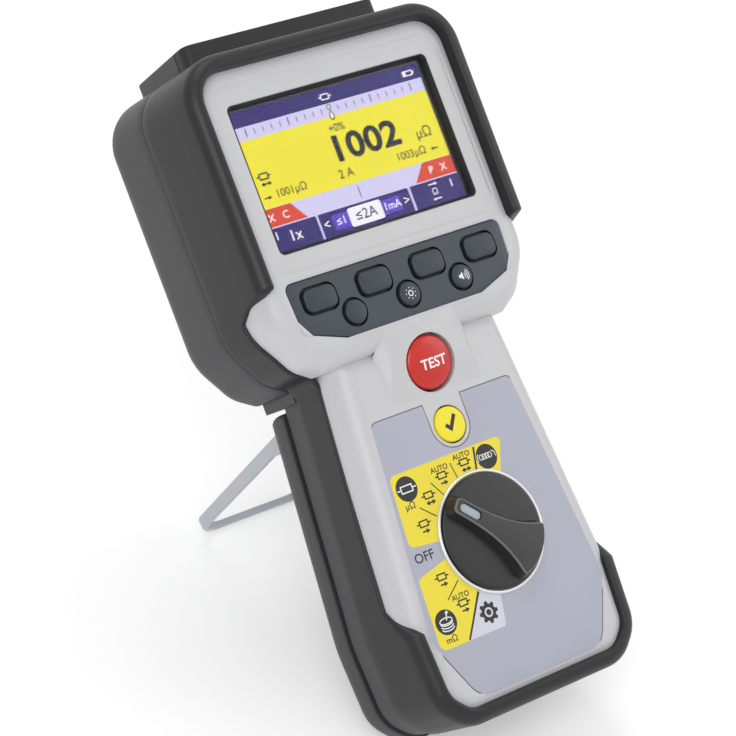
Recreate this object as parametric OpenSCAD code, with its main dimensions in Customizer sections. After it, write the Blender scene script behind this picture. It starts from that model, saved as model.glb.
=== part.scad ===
// Hand-held micro ohmmeter on its folding stand.
// Every piece is drawn lying on its back: X across the face, Y from heel to top, Z out of the face,
// with Z at 0 on the printed label. One transform then leans the whole instrument on its stand.

/* [Housing outline] */
// Length of the housing from heel to top
body_l = 229.5; // [222:0.5:240]
// Width across the bumper at the top of the head
head_w = 110.5; // [106:0.5:116]
// Width at the widest part of the heel
heel_w = 88; // [84:0.5:92]
// Width of the neck
neck_w = 72; // [68:0.5:76]
// Height of the neck's inner corner above the heel
neck_y = 121; // [119:0.5:123]
// Height above the neck at which the head has its full width
chin_h = 19; // [17:0.5:22]
// Corner radius at the top of the head
head_corner_r = 16; // [12:0.5:18]
// Corner radius at the heel
heel_corner_r = 14; // [12:0.5:16]

/* [Housing depth] */
// Rise of the head's face above the handle's face
head_rise = 4.2; // [3.4:0.1:5]
// Rise of the bumper's crest above the head's face
crest_rise = 3.6; // [3:0.1:4.4]
// Rise of the heel bumper's crest above the handle's face
heel_rise = 1.4; // [0.8:0.1:2]
// Depth of the seam between front and rear halves
seam_depth = 25.5; // [24.5:0.1:26.5]
// Depth of the head behind the handle's face
head_depth = 55; // [54:0.5:58]
// Depth of the handle behind its face
handle_depth = 51; // [50.5:0.1:52]
// Depth at which the battery cover starts
cover_seam = 36.2; // [35.6:0.1:37]
// Rounding of the grey front edge
face_r = 8; // [6:0.5:9]
// Rounding of the back edges
back_r = 10; // [8:0.5:11]
// Depth of the line where the grey front meets the bumper on the sides
side_line = 10; // [9:0.2:11.5]

/* [Walls] */
// Wall of the grey front case
front_wall = 2.6; // [2.2:0.1:3]
// Wall of the rear case
rear_wall = 2.6; // [2.2:0.1:3]
// Wall of the battery cover
cover_wall = 2; // [1.6:0.1:2.4]
// Thickness of the bumper over the skirt
bumper_t = 2.2; // [1.8:0.1:2.4]
// Width of the bumper's bead round the head and heel
bead_w = 5.7; // [5.2:0.1:6.4]
// Thickness of the case gasket
gasket_t = 0.5; // [0.3:0.1:0.8]

/* [Display] */
// Width of the display window
window_w = 81.3; // [76:0.1:84]
// Height of the display window
window_h = 50.5; // [46:0.1:52]
// Height of the window's lower edge above the heel
window_y = 161.5; // [160:0.1:164]
// Depth of the display glass below the head's face
window_recess = 2.6; // [2:0.1:3]
// Thickness of the window
window_t = 1; // [0.8:0.1:1.4]

/* [Keys] */
// Spacing of the soft keys
key_pitch = 22.04; // [21.5:0.01:22.5]
// Height of the soft key row above the heel
soft_y = 144.9; // [144:0.1:145.5]
// Height of the round key row above the heel
round_y = 137.3; // [136.8:0.1:138]
// Width of a soft key
soft_w = 12.4; // [11.5:0.1:13]
// Height of a soft key
soft_h = 7.6; // [7:0.1:8]
// Radius of a round key
round_r = 4; // [3.6:0.1:4.2]
// Rise of the keys above the head's face
key_rise = 1.1; // [0.8:0.1:1.6]
// Travel of the keys and buttons
key_travel = 0.8; // [0.5:0.1:1]
// Radius of the test button
test_r = 9.3; // [8.6:0.1:9.6]
// Height of the test button above the heel
test_y = 114.2; // [113.5:0.1:114.8]
// Radius of the tick button
tick_r = 5.9; // [5.4:0.1:6.2]
// Height of the tick button above the heel
tick_y = 93.2; // [92.8:0.1:93.8]

/* [Rotary knob] */
// Height of the knob's axis above the heel
knob_y = 56; // [55:0.1:57]
// Radius of the bright ring
ring_r = 20.6; // [20:0.1:21]
// Radius of the knob
knob_r = 19.2; // [18.8:0.1:19.2]
// Height of the knob's grip above the label
grip_h = 6; // [5:0.1:8]
// Height of the knob's flat skirt above the label
skirt_h = 1.9; // [1.5:0.1:2.6]
// Angle of the pointer at rest, from the right, anticlockwise
pointer_angle = 135; // [67.5:22.5:247.5]
// Radius of the switch shaft
shaft_r = 3; // [2.6:0.1:3.4]

/* [Stand] */
// Height of the stand's hinge above the heel
hinge_y = 108.8; // [108:0.1:109.4]
// Depth of the stand's hinge behind the handle's face
hinge_depth = 41; // [40.6:0.1:41.4]
// Length of the stand from its hinge to its foot
bail_l = 98.5; // [96:0.1:99]
// Width of the stand at its hinge
bail_w = 58; // [57:0.1:59]
// Width of the stand at its foot
foot_w = 50; // [48:0.1:52]
// Thickness of the stand's arms
bail_t = 2.4; // [2:0.1:3]
// Depth of the stand's arms
bail_d = 4.8; // [4.2:0.1:5]
// Angle through which the stand opens
open_angle = 77; // [70:0.5:84]

/* [Power and terminals] */
// Radius of a battery cell
cell_r = 7.1; // [6.8:0.05:7.25]
// Length of a battery cell
cell_l = 50.2; // [49:0.1:50.5]
// Spacing of the test sockets
socket_pitch = 19; // [17:0.5:19.5]
// Bore radius of the test sockets
socket_r = 2.02; // [2:0.01:2.05]
// Width of the terminal tower
tower_w = 78.6; // [76:0.2:82]
// Rise of the terminal tower above the top of the housing
tower_rise = 7.7; // [6.5:0.1:9]

/* [Hidden] */

// Overrun of every cut, and the clearances between pieces
over = 1;
fit = 0.1;
slide_fit = 0.3;
run_fit = 0.05;
press_fit = 0.02;
arc_steps = 4;
round_steps = 4;

// Outline of the housing, right half from the heel up: x, y, corner radius
heel_chamfer = 9.5;
heel_flat = 33;
heel_side = 42.6;
heel_y = 36;
heel_blend_r = 60;
neck_r = 6;
chin_w = 91.2;
chin_y = 4.5;
chin_r = 14;
cheek_w = 109.8;
cheek_r = 20;
outline = [[heel_flat, 0, heel_corner_r], [heel_side, heel_chamfer, heel_corner_r + 2 * fit],
    [heel_w / 2, heel_y, heel_blend_r], [neck_w / 2, neck_y, neck_r],
    [chin_w / 2, neck_y + chin_y, chin_r], [cheek_w / 2, neck_y + chin_h, cheek_r],
    [head_w / 2, body_l, head_corner_r]];
// Outline of the head alone, closed along the chin, and of the handle alone, closed inside the head
chin_edge = 38;
chin_edge_r = 2;
neck_lap = 6;
head_outline = [[chin_edge, neck_y, chin_edge_r], [chin_w / 2, neck_y + chin_y, chin_r],
    [cheek_w / 2, neck_y + chin_h, cheek_r], [head_w / 2, body_l, head_corner_r]];
handle_outline = [[heel_flat, 0, heel_corner_r], [heel_side, heel_chamfer, heel_corner_r + 2 * fit],
    [heel_w / 2, heel_y, heel_blend_r], [neck_w / 2, neck_y + neck_lap, neck_r]];

// Outline of the battery cover, closed below the neck
cover_len = 115.6;
cover_r = 2.5;
cover_half_w = heel_w / 2 - (heel_w - neck_w) / 2 * (cover_len - heel_y) / (neck_y - heel_y);
cover_outline = [[heel_flat, 0, heel_corner_r], [heel_side, heel_chamfer, heel_corner_r + 2 * fit],
    [heel_w / 2, heel_y, heel_blend_r], [cover_half_w, cover_len, cover_r]];

// Levels out of the face
crest = head_rise + crest_rise;
seam = -seam_depth;
front_low = seam + gasket_t / 2;
rear_top = seam - gasket_t / 2;
lip = 1.2;
bead_r = 4.4;
bead_drop = 3;
bead_fall = 0.4;
skirt_in = bumper_t + fit;
cavity_in = bumper_t + fit + front_wall;
low_roof = front_wall;
high_roof = front_wall;
cover_top = -cover_seam;
cover_gap = 0.8;
neck_block_y = cover_len + 2 * cover_gap;
neck_block_h = 10;
neck_depth = 45.5;
cover_slope_y = 78;
cover_slope_top = 45.4;
cover_slope_end_y = 103.2;

// Where the bumper's bead starts and ends, as heights above the heel
head_bead_low = 145.4;
head_bead_high = 152.2;
head_bead_mid = 149.4;
heel_bead_low = 44;
heel_bead_high = 33.5;
head_bead_step = 3;

// Window, frame and display
window_r = 2;
frame_t = 1.2;
glass_z = head_rise - window_recess;
bezel_groove = 0.4;
bezel_out = 5.6;

// Keypad plate
plate_t = 1.6;
plate_top = head_rise - fit;
plate_w = 88.4;
plate_mid_w = 86.6;
plate_low_w = 50.4;
plate_top_y = 152.1;
plate_mid_y = 135.6;
plate_low_y = 129.5;
plate_r = 1.6;
key_gap = 0.9;
key_r = 2.6;
key_flange = 0.8;
mat_t = 1;
dome_h = 1.1;
key_board_z = -head_rise - mat_t - dome_h;
key_board_y = 129;
key_board_w = 80;

// Ramp below the head that carries the test button
ramp_low_y = 104.4;
ramp_high_y = 124.4;
ramp_low_w = 36.4;
ramp_high_w = 25;
ramp_foot_w = 41;
ramp_angle = atan2(head_rise, ramp_high_y - ramp_low_y);
ramp_z = (test_y - ramp_low_y) * tan(ramp_angle);
button_gap = 0.5;
test_dish = 0.9;
test_rim = 1.2;
test_l = 7;
tick_l = 5;
tick_rise = 0.4;

// Face label and its pocket
label_t = 0.3;
label_top = 102;
label_low = 7.4;
label_top_w = 58.4;
label_wide_w = 73.4;
label_wide_y = 30;
label_low_w = 52;
label_r = 2.4;
label_heel_r = 9;
notch_r = 7.6;

// Rotary knob
ring_t = 1.3;
ring_h = 1.1;
ring_sink = 0.7;
knob_gap = 0.5;
grip_r = 17.9;
grip_tip_w = 6.6;
grip_fan_w = 21.4;
grip_steps = 10;
grip_bend = 3;
slot_l = 8;
slot_w = 3.3;
slot_place = 12;
slot_d = 1.2;
shaft_l = 17;
bush_r = 5;
switch_w = 30;
switch_t = 7;
shaft_top = grip_h - slot_d;

// Boards and large parts
board_t = 1.6;
board_z = -17;
board_in = 8.4;
board_low = 9;
inductor_r = 9;
inductor_h = 9;
shunt_l = 16;
shunt_w = 6;
sounder_r = 6;
sounder_h = 5;
board_top_y = 206;
post_r = 4.2;
post_x = 45.2;
post_low_y = 159;
post_high_y = 197;
board_post_x = 26;
board_post_low_y = 17;
board_post_high_y = 101;
screw_r = 1.5;
pilot_r = 1.4;
screw_head_r = 2.8;
screw_l = 34;
screw_head_l = 2;
screw_seat = 9;
cover_screw_y = 112.4;
cover_head_r = 2.3;
cover_screw_l = 14;

// Battery bay
bay_wall = 1.6;
bay_in = cavity_in + slide_fit + bay_wall;
bay_floor = -22.4;
cell_z = -31.5;
cell_y = 58.9;
cell_gap = 0.4;
cap_r = 2.7;
cap_l = 1;
contact_t = 0.5;
contact_w = 10;

// Stand
lug_r = 5.6;
stub_r = 2.2;
stub_l = 3.4;
foot_r = 1.2;
bail_lift = lug_r - bail_d;
bail_corner_r = 13;
lug_taper = 22;
groove_gap = 0.7;
swing_r = norm([lug_r, lug_r - bail_lift]) + slide_fit;
// Width of the room an arm swings in: it leans inwards by some 1 mm over its taper
arm_lean = 0.9;
room_w = bail_t + arm_lean + 2 * groove_gap;
hinge_z = -hinge_depth;
groove_floor = hinge_z - bail_lift + slide_fit;
lug_reach = 9;

// Terminal tower and sockets
tower_front = 10;
tower_split = 16.7;
tower_back = 46;
tower_fall = 2.7;
tower_r = 3.5;
socket_z = -31.5;
socket_l = 24;
nut_z = tower_fall - tower_rise - rear_wall - gasket_t;
socket_wall = 1.1;
shroud_t = 1.7;
shroud_lift = 0.8;
nut_r = 5.65;
nut_t = 2.4;

// Lean of the instrument: heel edge and foot both touch the ground
heel_c = [back_r, -handle_depth + back_r];
foot_s = bail_l - foot_r;
foot_n = bail_lift + foot_r;
foot_c = [hinge_y - foot_s * cos(open_angle) + foot_n * sin(open_angle),
    hinge_z - foot_s * sin(open_angle) - foot_n * cos(open_angle)];
span = heel_c - foot_c;
lean = atan2(span.y, span.x) - acos((back_r - foot_r) / norm(span));
// The cover's sloping back carries on below its flat back by this much, so that the two cross cleanly
slope_run = over * (cover_slope_end_y - cover_slope_y) / (handle_depth - cover_slope_top);
function ground(c, r) = c.x * cos(lean) + c.y * sin(lean) - r;
function along(c) = c.x * sin(lean) - c.y * cos(lean);
drop = min(ground(heel_c, back_r), ground(foot_c, foot_r));
heel_crest_c = [bead_r, heel_rise - bead_r];
tower_rear_c = [body_l + tower_rise - tower_fall, -tower_back];
head_rear_c = [body_l - back_r, -head_depth + back_r];
y_front = along(heel_crest_c) - bead_r;
y_back = max(along(head_rear_c) + back_r, along(tower_rear_c));

module placed() {
    translate([0, -(y_front + y_back) / 2, -drop]) rotate([90 - lean, 0, 0]) children();
}

// Full outline from its right half: the left half is the mirror image, taken backwards
function whole(half) = concat(half, [for (i = [len(half) - 1:-1:0]) [-half[i].x, half[i].y, half[i].z]]);
function flat(p) = [p.x, p.y];
function unit(v) = v / norm(v);
function turned(v) = [-v.y, v.x];
function crossed(a, b) = a.x * b.y - a.y * b.x;

// Corner i of an outline drawn in by d, as an arc of arc_steps chords
function corner(o, i, d, steps) =
    let (n = len(o), p = flat(o[i]), a = unit(p - flat(o[(i + n - 1) % n])),
        b = unit(flat(o[(i + 1) % n]) - p), c = crossed(a, b), turn = atan2(c, a * b),
        q = p + (turned(a) + turned(b)) * d / (1 + a * b), s = sign(turn),
        r = max(o[i].z - s * d, fit), t = r * tan(abs(turn) / 2), m = q - a * t + turned(a) * s * r)
    [for (k = [0:steps]) let (g = turn * k / steps, v = -turned(a) * s * r)
        m + [v.x * cos(g) - v.y * sin(g), v.x * sin(g) + v.y * cos(g)]];
function ring(half, d = 0, steps = arc_steps) =
    let (o = whole(half)) [for (i = [0:len(o) - 1]) each corner(o, i, d, steps)];
function lofted(half, profile, steps = arc_steps) = [for (p = profile) each [for (q = ring(half, p.x, steps))
    [q.x, q.y, p.y]]];

// A solid through the outline's rings; profile lists each ring's inset and level, going up
module loft(half, profile, steps = arc_steps) {
    n = 2 * len(half) * (steps + 1);
    m = len(profile);
    polyhedron(lofted(half, profile, steps), concat([[for (i = [0:n - 1]) i]],
        [[for (i = [n - 1:-1:0]) (m - 1) * n + i]],
        [for (j = [0:m - 2]) each [for (i = [0:n - 1])
            [j * n + i, (j + 1) * n + i, (j + 1) * n + (i + 1) % n, j * n + (i + 1) % n]]]), convexity = 8);
}
// A straight-sided solid on the outline drawn in by d
module prism(half, d, low, high, steps = arc_steps) {
    translate([0, 0, low]) linear_extrude(high - low) polygon(ring(half, d, steps));
}
// Rounded top edge of radius r that ends at level top, and its mirror for a bottom edge
function rounded_top(top, r, d) = [for (i = [0:round_steps]) let (a = 90 * i / round_steps)
    [d + r * (1 - cos(a)), top - r + r * sin(a)]];
function rounded_low(low, r, d) = [for (i = [round_steps:-1:0]) let (a = 90 * i / round_steps)
    [d + r * (1 - cos(a)), low + r - r * sin(a)]];
// A slab across the whole width, from a side view in y and z
module side_cut(points, half = head_w) {
    translate([-half, 0, 0]) rotate([90, 0, 90]) linear_extrude(2 * half) polygon(points);
}
// A band across everything between two heights above the heel
module band(y0, y1, low = -2 * head_depth, high = head_depth) {
    translate([-head_w, y0, low]) cube([2 * head_w, y1 - y0, high - low]);
}
module rounded_box(w, h, r, low, high) {
    translate([0, 0, low]) linear_extrude(high - low)
        polygon(ring([[w / 2, 0, r], [w / 2, h, r]]));
}
module at_keys() {
    for (i = [0:3]) translate([(i - 3 / 2) * key_pitch, soft_y, 0]) children(0);
    for (i = [0:2]) translate([(i - 1) * key_pitch, round_y, 0]) children(1);
}
module on_ramp() {
    translate([0, test_y, ramp_z]) rotate([ramp_angle, 0, 0]) children();
}
module soft_shape(grow, low, high) {
    translate([0, -soft_h / 2 - grow, 0])
        rounded_box(soft_w + 2 * grow, soft_h + 2 * grow, key_r + grow, low, high);
}
module drill(r, low, high) {
    translate([0, 0, low]) cylinder(r = r, h = high - low, $fn = 48);
}

// Shell of the grey front: handle face, raised head face, and the skirt inside the bumper
module front_outer() {
    difference() {
        union() {
            loft(handle_outline, concat([[lip, -side_line]], rounded_top(0, face_r, lip)));
            loft(head_outline, concat([[lip, -side_line]], rounded_top(head_rise, face_r, lip)));
        }
        bead_space();
    }
    prism(outline, skirt_in, front_low, over - side_line);
    test_ramp();
}
// Room for the bumper's bead round the head and round the heel
module bead_space() {
    difference() {
        union() {
            side_cut(head_bead(over));
            side_cut(heel_bead(over));
        }
        prism(outline, bead_w + fit, -bead_drop - fit, 3 * crest);
        prism(outline, skirt_in, -side_line - 3 * over, -bead_drop);
    }
}
// Side views of the spaces taken by the head's bead and the heel's bead
function head_bead(extra) = [[head_bead_low, -side_line - extra], [head_bead_mid, -head_bead_step],
    [head_bead_high, head_rise], [head_bead_high, 2 * crest], [body_l + head_w, 2 * crest],
    [body_l + head_w, -side_line - extra]];
function heel_bead(extra) = [[heel_bead_low, -side_line - extra], [heel_bead_low, -side_line],
    [heel_bead_high, heel_rise + over], [-head_w, heel_rise + over], [-head_w, -side_line - extra]];
module test_ramp() {
    low = -front_wall;
    polyhedron([[-ramp_low_w / 2, ramp_low_y, 0], [ramp_low_w / 2, ramp_low_y, 0],
        [ramp_high_w / 2, ramp_high_y, head_rise], [-ramp_high_w / 2, ramp_high_y, head_rise],
        [-ramp_low_w / 2, ramp_low_y, low], [ramp_low_w / 2, ramp_low_y, low],
        [ramp_foot_w / 2, ramp_high_y, low], [-ramp_foot_w / 2, ramp_high_y, low],
        [ramp_foot_w / 2, ramp_high_y, 0], [-ramp_foot_w / 2, ramp_high_y, 0]],
        [[0, 3, 2, 1], [4, 5, 6, 7], [0, 1, 5, 4], [1, 2, 8], [0, 9, 3], [1, 8, 6, 5], [0, 4, 7, 9],
        [2, 3, 9, 8], [9, 7, 6, 8]]);
}
// Plan of the label, drawn in by d
function label_half(d) = [[label_low_w / 2, label_low, label_heel_r], [label_wide_w / 2, label_wide_y,
    label_heel_r], [label_top_w / 2, label_top, label_r]];
module label_plan(d) {
    difference() {
        polygon(ring(label_half(0), d));
        union() {
            translate([0, tick_y]) circle(r = notch_r + d, $fn = 48);
            translate([-notch_r - d, tick_y]) square([2 * (notch_r + d), label_top - tick_y + over]);
        }
    }
}
function plate_half() = [[plate_low_w / 2, plate_low_y, plate_r], [plate_mid_w / 2, plate_mid_y, plate_r],
    [plate_w / 2, plate_top_y, plate_r]];

module front_case() {
    color("#cfd0ce") placed() difference() {
        front_outer();
        prism(outline, cavity_in, front_low - over, -low_roof);
        prism(head_outline, cavity_in + face_r / 2, -low_roof - over, head_rise - high_roof);
        translate([0, window_y, 0]) rounded_box(window_w, window_h, window_r, -head_depth, crest);
        translate([0, window_y - bezel_out, 0]) rounded_box(window_w + 2 * bezel_out,
            window_h + 2 * bezel_out, window_r + bezel_out, head_rise - bezel_groove, crest);
        prism(plate_half(), 0, plate_top - plate_t - fit, crest);
        at_keys() {
            soft_shape(key_gap, -head_rise, crest);
            drill(round_r + key_gap, -head_rise, crest);
        }
        on_ramp() drill(test_r + button_gap, -2 * crest, crest);
        translate([0, tick_y, 0]) drill(tick_r + button_gap, -2 * crest, crest);
        translate([0, knob_y, 0]) {
            drill(bush_r + slide_fit, -2 * crest, crest);
            drill(ring_r + fit, -ring_sink, crest);
        }
        translate([0, 0, -label_t]) linear_extrude(crest) label_plan(-fit);
    }
    color("#cfd0ce") placed() {
        at_case_screws() front_post(high_roof);
        at_board_posts() front_post(0, board_z + board_t);
    }
}
// Hollow post that stands down from the front wall to the seam, or to the given level
module front_post(top, low = front_low) {
    difference() {
        drill(post_r, low, top - front_wall / 2);
        drill(pilot_r, low - over, top - 2 * front_wall);
    }
}
module at_case_screws() {
    for (s = [-1, 1]) for (y = [post_low_y, post_high_y]) translate([s * post_x, y, 0]) children();
}
module at_board_posts() {
    for (s = [-1, 1]) for (y = [board_post_low_y, board_post_high_y]) translate([s * board_post_x, y, 0])
        children();
}
module at_cover_screws() {
    for (s = [-1, 1]) translate([s * (cell_r + cell_gap / 2), cover_screw_y, 0]) children();
}
// Soft bumper: full height round the head, low along neck and handle, up again at the heel
module front_overmould() {
    color("#3a3a3c") placed() difference() {
        union() {
            prism(outline, 0, front_low, -side_line);
            difference() {
                loft(outline, bead_profile(crest));
                side_cut([[-over, -side_line - 2 * over], [head_bead_low, -side_line - 2 * over],
                    [head_bead_low, -side_line], [head_bead_mid, -head_bead_step],
                    [head_bead_high, head_rise], [head_bead_high, 2 * crest], [-over, 2 * crest]]);
            }
            intersection() {
                loft(outline, bead_profile(heel_rise));
                side_cut(heel_bead(2 * over));
            }
            tower(tower_front, tower_split);
        }
        prism(outline, bumper_t, front_low - over, -bead_drop);
        prism(outline, bead_w, -bead_drop - over, 2 * crest);
    }
}
// The bead's section: it starts inside the skirt, and its crest falls a little towards the face
function bead_profile(top) = concat([[fit / 2, -side_line - over]], rounded_top(top, bead_r, fit / 2),
    [[bead_w + over, top - bead_fall]]);
// Block of the terminal tower between two depths
module tower(d0, d1) {
    top = body_l + tower_rise;
    intersection() {
        translate([0, body_l - bead_r, 0]) rotate([90, 0, 0]) mirror([0, 0, 1]) linear_extrude(head_depth)
            polygon(ring([[tower_w / 2, -tower_back, tower_r], [tower_w / 2, -tower_front, tower_r]]));
        side_cut([[body_l - bead_r, -d1], [top - tower_fall * (d1 - tower_front) / (tower_back - tower_front),
            -d1], [top - tower_fall * (d0 - tower_front) / (tower_back - tower_front), -d0],
            [body_l - bead_r, -d0]]);
    }
}
module rear_case() {
    color("#5c5c5e") placed() difference() {
        union() {
            difference() {
                rear_shell();
                rear_hollow();
            }
            at_case_screws() drill(post_r, -head_depth + over, rear_top);
            at_cover_screws() drill(cover_head_r, cover_top + fit, bay_floor + over);
        }
        at_sockets() drill(socket_r + socket_wall + shroud_t + fit, -2 * socket_l, 2 * over + tower_rise);
        at_case_screws() {
            drill(screw_head_r + fit, -2 * head_depth, -head_depth + screw_seat);
            drill(screw_r + fit, -2 * head_depth, crest);
        }
        at_cover_screws() drill(pilot_r, -head_depth, bay_floor + 2 * over);
    }
}
module rear_shell() {
    loft(head_outline, concat(rounded_low(-head_depth, back_r, gasket_t / 2), [[gasket_t / 2, rear_top]]));
    side_cut([[neck_block_y, -neck_depth], [neck_block_y + neck_block_h, -neck_depth],
        [neck_block_y + neck_block_h, rear_top - fit], [neck_block_y, rear_top - fit]], cover_half_w);
    prism(outline, 2 * gasket_t, cover_top + cover_gap, rear_top - fit);
    intersection() {
        prism(outline, bay_in - bay_wall, rear_top - over, bay_floor + bay_wall);
        band(0, neck_block_y);
    }
    difference() {
        tower(tower_split + gasket_t / 2, tower_back);
        prism(outline, -fit, rear_top, crest);
    }
}
module rear_hollow() {
    intersection() {
        prism(outline, bay_in, -head_depth, bay_floor);
        band(0, neck_block_y - bay_wall);
    }
    prism(head_outline, rear_wall + back_r / 2, -head_depth + rear_wall, -head_depth + back_r);
    prism(head_outline, rear_wall + gasket_t, -head_depth + back_r - over, rear_top + over);
}
// The four sockets lie side by side in the tower and point out of the top end
module at_socket(i) {
    translate([(i - 3 / 2) * socket_pitch, body_l + tower_rise - tower_fall, socket_z])
        rotate([-90, 0, 0]) children();
}
module at_sockets() {
    for (i = [0:3]) at_socket(i) children();
}

module case_gasket() {
    color("#2a2a2c") placed() difference() {
        prism(outline, skirt_in + fit, rear_top, front_low);
        prism(outline, cavity_in - fit, rear_top - over, front_low + over);
    }
}
// Plan of the stand lying flat, drawn in by d and reaching past its hinge
function bail_ring(d, reach) = ring([[foot_w / 2, -bail_l, bail_corner_r], [bail_w / 2, reach, fit]], d);
// The stand lying flat in its groove: arms towards the heel, hinge axis at the origin
module folded_stand() {
    intersection() {
        translate([0, 0, -2 * lug_r]) linear_extrude(4 * lug_r) difference() {
            polygon(bail_ring(0, lug_reach));
            polygon(bail_ring(bail_t, lug_reach + 2 * bail_t));
        }
        translate([-head_w / 2, 0, 0]) rotate([90, 0, 90]) linear_extrude(head_w) union() {
            circle(r = lug_r, $fn = 48);
            polygon([[0, -lug_r], [-foot_s, -lug_r], [-foot_s, -bail_lift - foot_r], [-lug_taper, -bail_lift],
                [-lug_r, lug_r - bail_lift], [0, lug_r]]);
            polygon([[-lug_taper, -lug_r], [-bail_l, -lug_r], [-bail_l, -foot_n], [-foot_s, -bail_lift],
                [-lug_taper, -bail_lift]]);
            translate([-foot_s, -foot_n]) circle(r = foot_r, $fn = 32);
        }
    }
    for (s = [-1, 1]) translate([s * (bail_w / 2 - bail_t / 2), 0, 0]) rotate([0, 90 * s, 0])
        cylinder(r = stub_r, h = stub_l + bail_t / 2, $fn = 48);
}
module stand() {
    color("#d5d7dc") placed() translate([0, hinge_y, hinge_z]) rotate([open_angle, 0, 0]) folded_stand();
}
module battery_cover() {
    color("#565658") placed() difference() {
        loft(cover_outline, concat(rounded_low(-handle_depth, back_r, 0), [[0, cover_top]]));
        side_cut([[cover_slope_y - slope_run, -handle_depth - over], [cover_slope_end_y, -cover_slope_top],
            [body_l, -cover_slope_top], [body_l, -handle_depth - over]]);
        intersection() {
            prism(cover_outline, cover_wall, groove_floor + cover_wall, cover_top + over);
            difference() {
                band(0, body_l);
                for (s = [-1, 1]) translate([s * bail_w / 2, hinge_y - lug_taper / 2, 0])
                    cube([2 * (stub_l + cover_wall) + bail_t, lug_taper + 3 * lug_r, 2 * handle_depth], center = true);
            }
        }
        translate([0, hinge_y, hinge_z]) {
            translate([0, 0, groove_floor - hinge_z - handle_depth]) linear_extrude(handle_depth) difference() {
                polygon(bail_ring(-groove_gap, lug_reach));
                polygon(bail_ring(bail_t + groove_gap, 2 * lug_reach));
            }
            for (s = [-1, 1]) translate([s * ((bail_w - room_w) / 2 + groove_gap), 0, 0]) {
                rotate([0, 90, 0]) cylinder(r = swing_r, h = room_w, center = true, $fn = 48);
                rotate([90, 0, 90]) linear_extrude(room_w, center = true)
                    polygon([[0, lug_r], [-lug_r, lug_r - bail_lift + groove_gap], [-lug_taper - groove_gap,
                        -bail_lift + slide_fit], [-lug_taper - groove_gap, -2 * lug_r], [0, -2 * lug_r]]);
            }
            for (s = [-1, 1]) translate([s * bail_w / 2, 0, 0]) rotate([0, 90 * s, 0])
                cylinder(r = stub_r + run_fit, h = stub_l + slide_fit, $fn = 48);
        }
        at_cover_screws() {
            drill(cover_head_r + fit, -handle_depth, -cover_slope_top + screw_head_l + fit);
            drill(screw_r + fit, -handle_depth, cover_top);
        }
    }
}

// Display stack
module window_slab(grow, low, high) {
    translate([0, window_y - grow, 0]) rounded_box(window_w + 2 * grow, window_h + 2 * grow,
        window_r + grow, low, high);
}
module display_window() {
    color([0.85, 0.9, 0.95, 0.4]) placed() window_slab(-frame_t - fit, glass_z - window_t, glass_z);
}
module window_frame() {
    color("#26282c") placed() difference() {
        window_slab(-fit, glass_z - window_t, head_rise - bezel_groove);
        window_slab(-frame_t, -head_depth, crest);
    }
}
module display_module() {
    color("#2a2470") placed() window_slab(-fit, key_board_z, glass_z - window_t);
}
module display_board() {
    color("#1d6b3a") placed() translate([0, key_board_y, 0]) rounded_box(key_board_w,
        window_y + window_h - key_board_y, window_r, key_board_z - board_t, key_board_z);
}

// Keys and their mat
module keypad_plate() {
    color("#4a545c") placed() difference() {
        prism(plate_half(), fit, plate_top - plate_t, plate_top);
        at_keys() {
            soft_shape(key_gap, -head_rise, crest);
            drill(round_r + key_gap, -head_rise, crest);
        }
    }
}
module key_mat() {
    color("#2c2e30") placed() translate([0, plate_low_y, 0])
        rounded_box(key_board_w, plate_top_y - plate_low_y, plate_r, -head_rise - mat_t, -head_rise);
}
module soft_key(i) {
    color("#3c4247") placed() translate([(i - 5 / 2) * key_pitch, soft_y, 0]) union() {
        soft_shape(-key_r / 8, head_rise, head_rise + key_rise);
        soft_shape(0, -head_rise + key_travel, head_rise + key_rise / 2);
    }
}
module round_key(i) {
    color("#3c4247") placed() translate([(i - 2) * key_pitch, round_y, 0]) {
        drill(round_r, -head_rise + key_travel, head_rise + key_rise / 2);
        drill(round_r * 7 / 8, head_rise, head_rise + key_rise);
    }
}
module soft_key_1() { soft_key(1); }
module soft_key_2() { soft_key(2); }
module soft_key_3() { soft_key(3); }
module soft_key_4() { soft_key(4); }
module round_key_1() { round_key(1); }
module round_key_2() { round_key(2); }
module round_key_3() { round_key(3); }
module test_button() {
    color("#d9301f") placed() on_ramp() rotate_extrude($fn = 64)
        polygon([[0, -test_l], [test_r, -test_l], [test_r, -test_rim], [test_r - test_rim, 0],
            [test_r / 2, test_dish / 2], [0, test_dish / 2]]);
}
module tick_button() {
    color("#f2e22e") placed() translate([0, tick_y, 0]) drill(tick_r, -tick_l, tick_rise);
}
module key_switches() {
    color("#b8b8bc") placed() {
        at_keys() {
            drill(round_r / 2, key_board_z, -head_rise - mat_t);
            drill(round_r / 2, key_board_z, -head_rise - mat_t);
        }
        translate([0, tick_y, 0]) drill(round_r / 2, board_z + board_t, -tick_l - key_travel - slide_fit);
        translate([0, test_y + test_l * sin(ramp_angle), 0]) drill(round_r / 2, board_z + board_t,
            ramp_z - test_l - key_travel - slide_fit);
    }
}

// Label, ring and knob
module face_label() {
    color("#b9bbcb") placed() translate([0, 0, -label_t]) linear_extrude(label_t) difference() {
        label_plan(0);
        translate([0, knob_y]) circle(r = ring_r + fit, $fn = 96);
    }
}
module knob_ring() {
    color("#dcdcdc") placed() translate([0, knob_y, -ring_sink]) difference() {
        cylinder(r = ring_r, h = ring_sink + ring_h, $fn = 96);
        translate([0, 0, -over]) cylinder(r = ring_r - ring_t, h = 2 * over + ring_h + ring_sink, $fn = 96);
    }
}
module at_knob() {
    translate([0, knob_y, 0]) rotate([0, 0, pointer_angle]) children();
}
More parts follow.
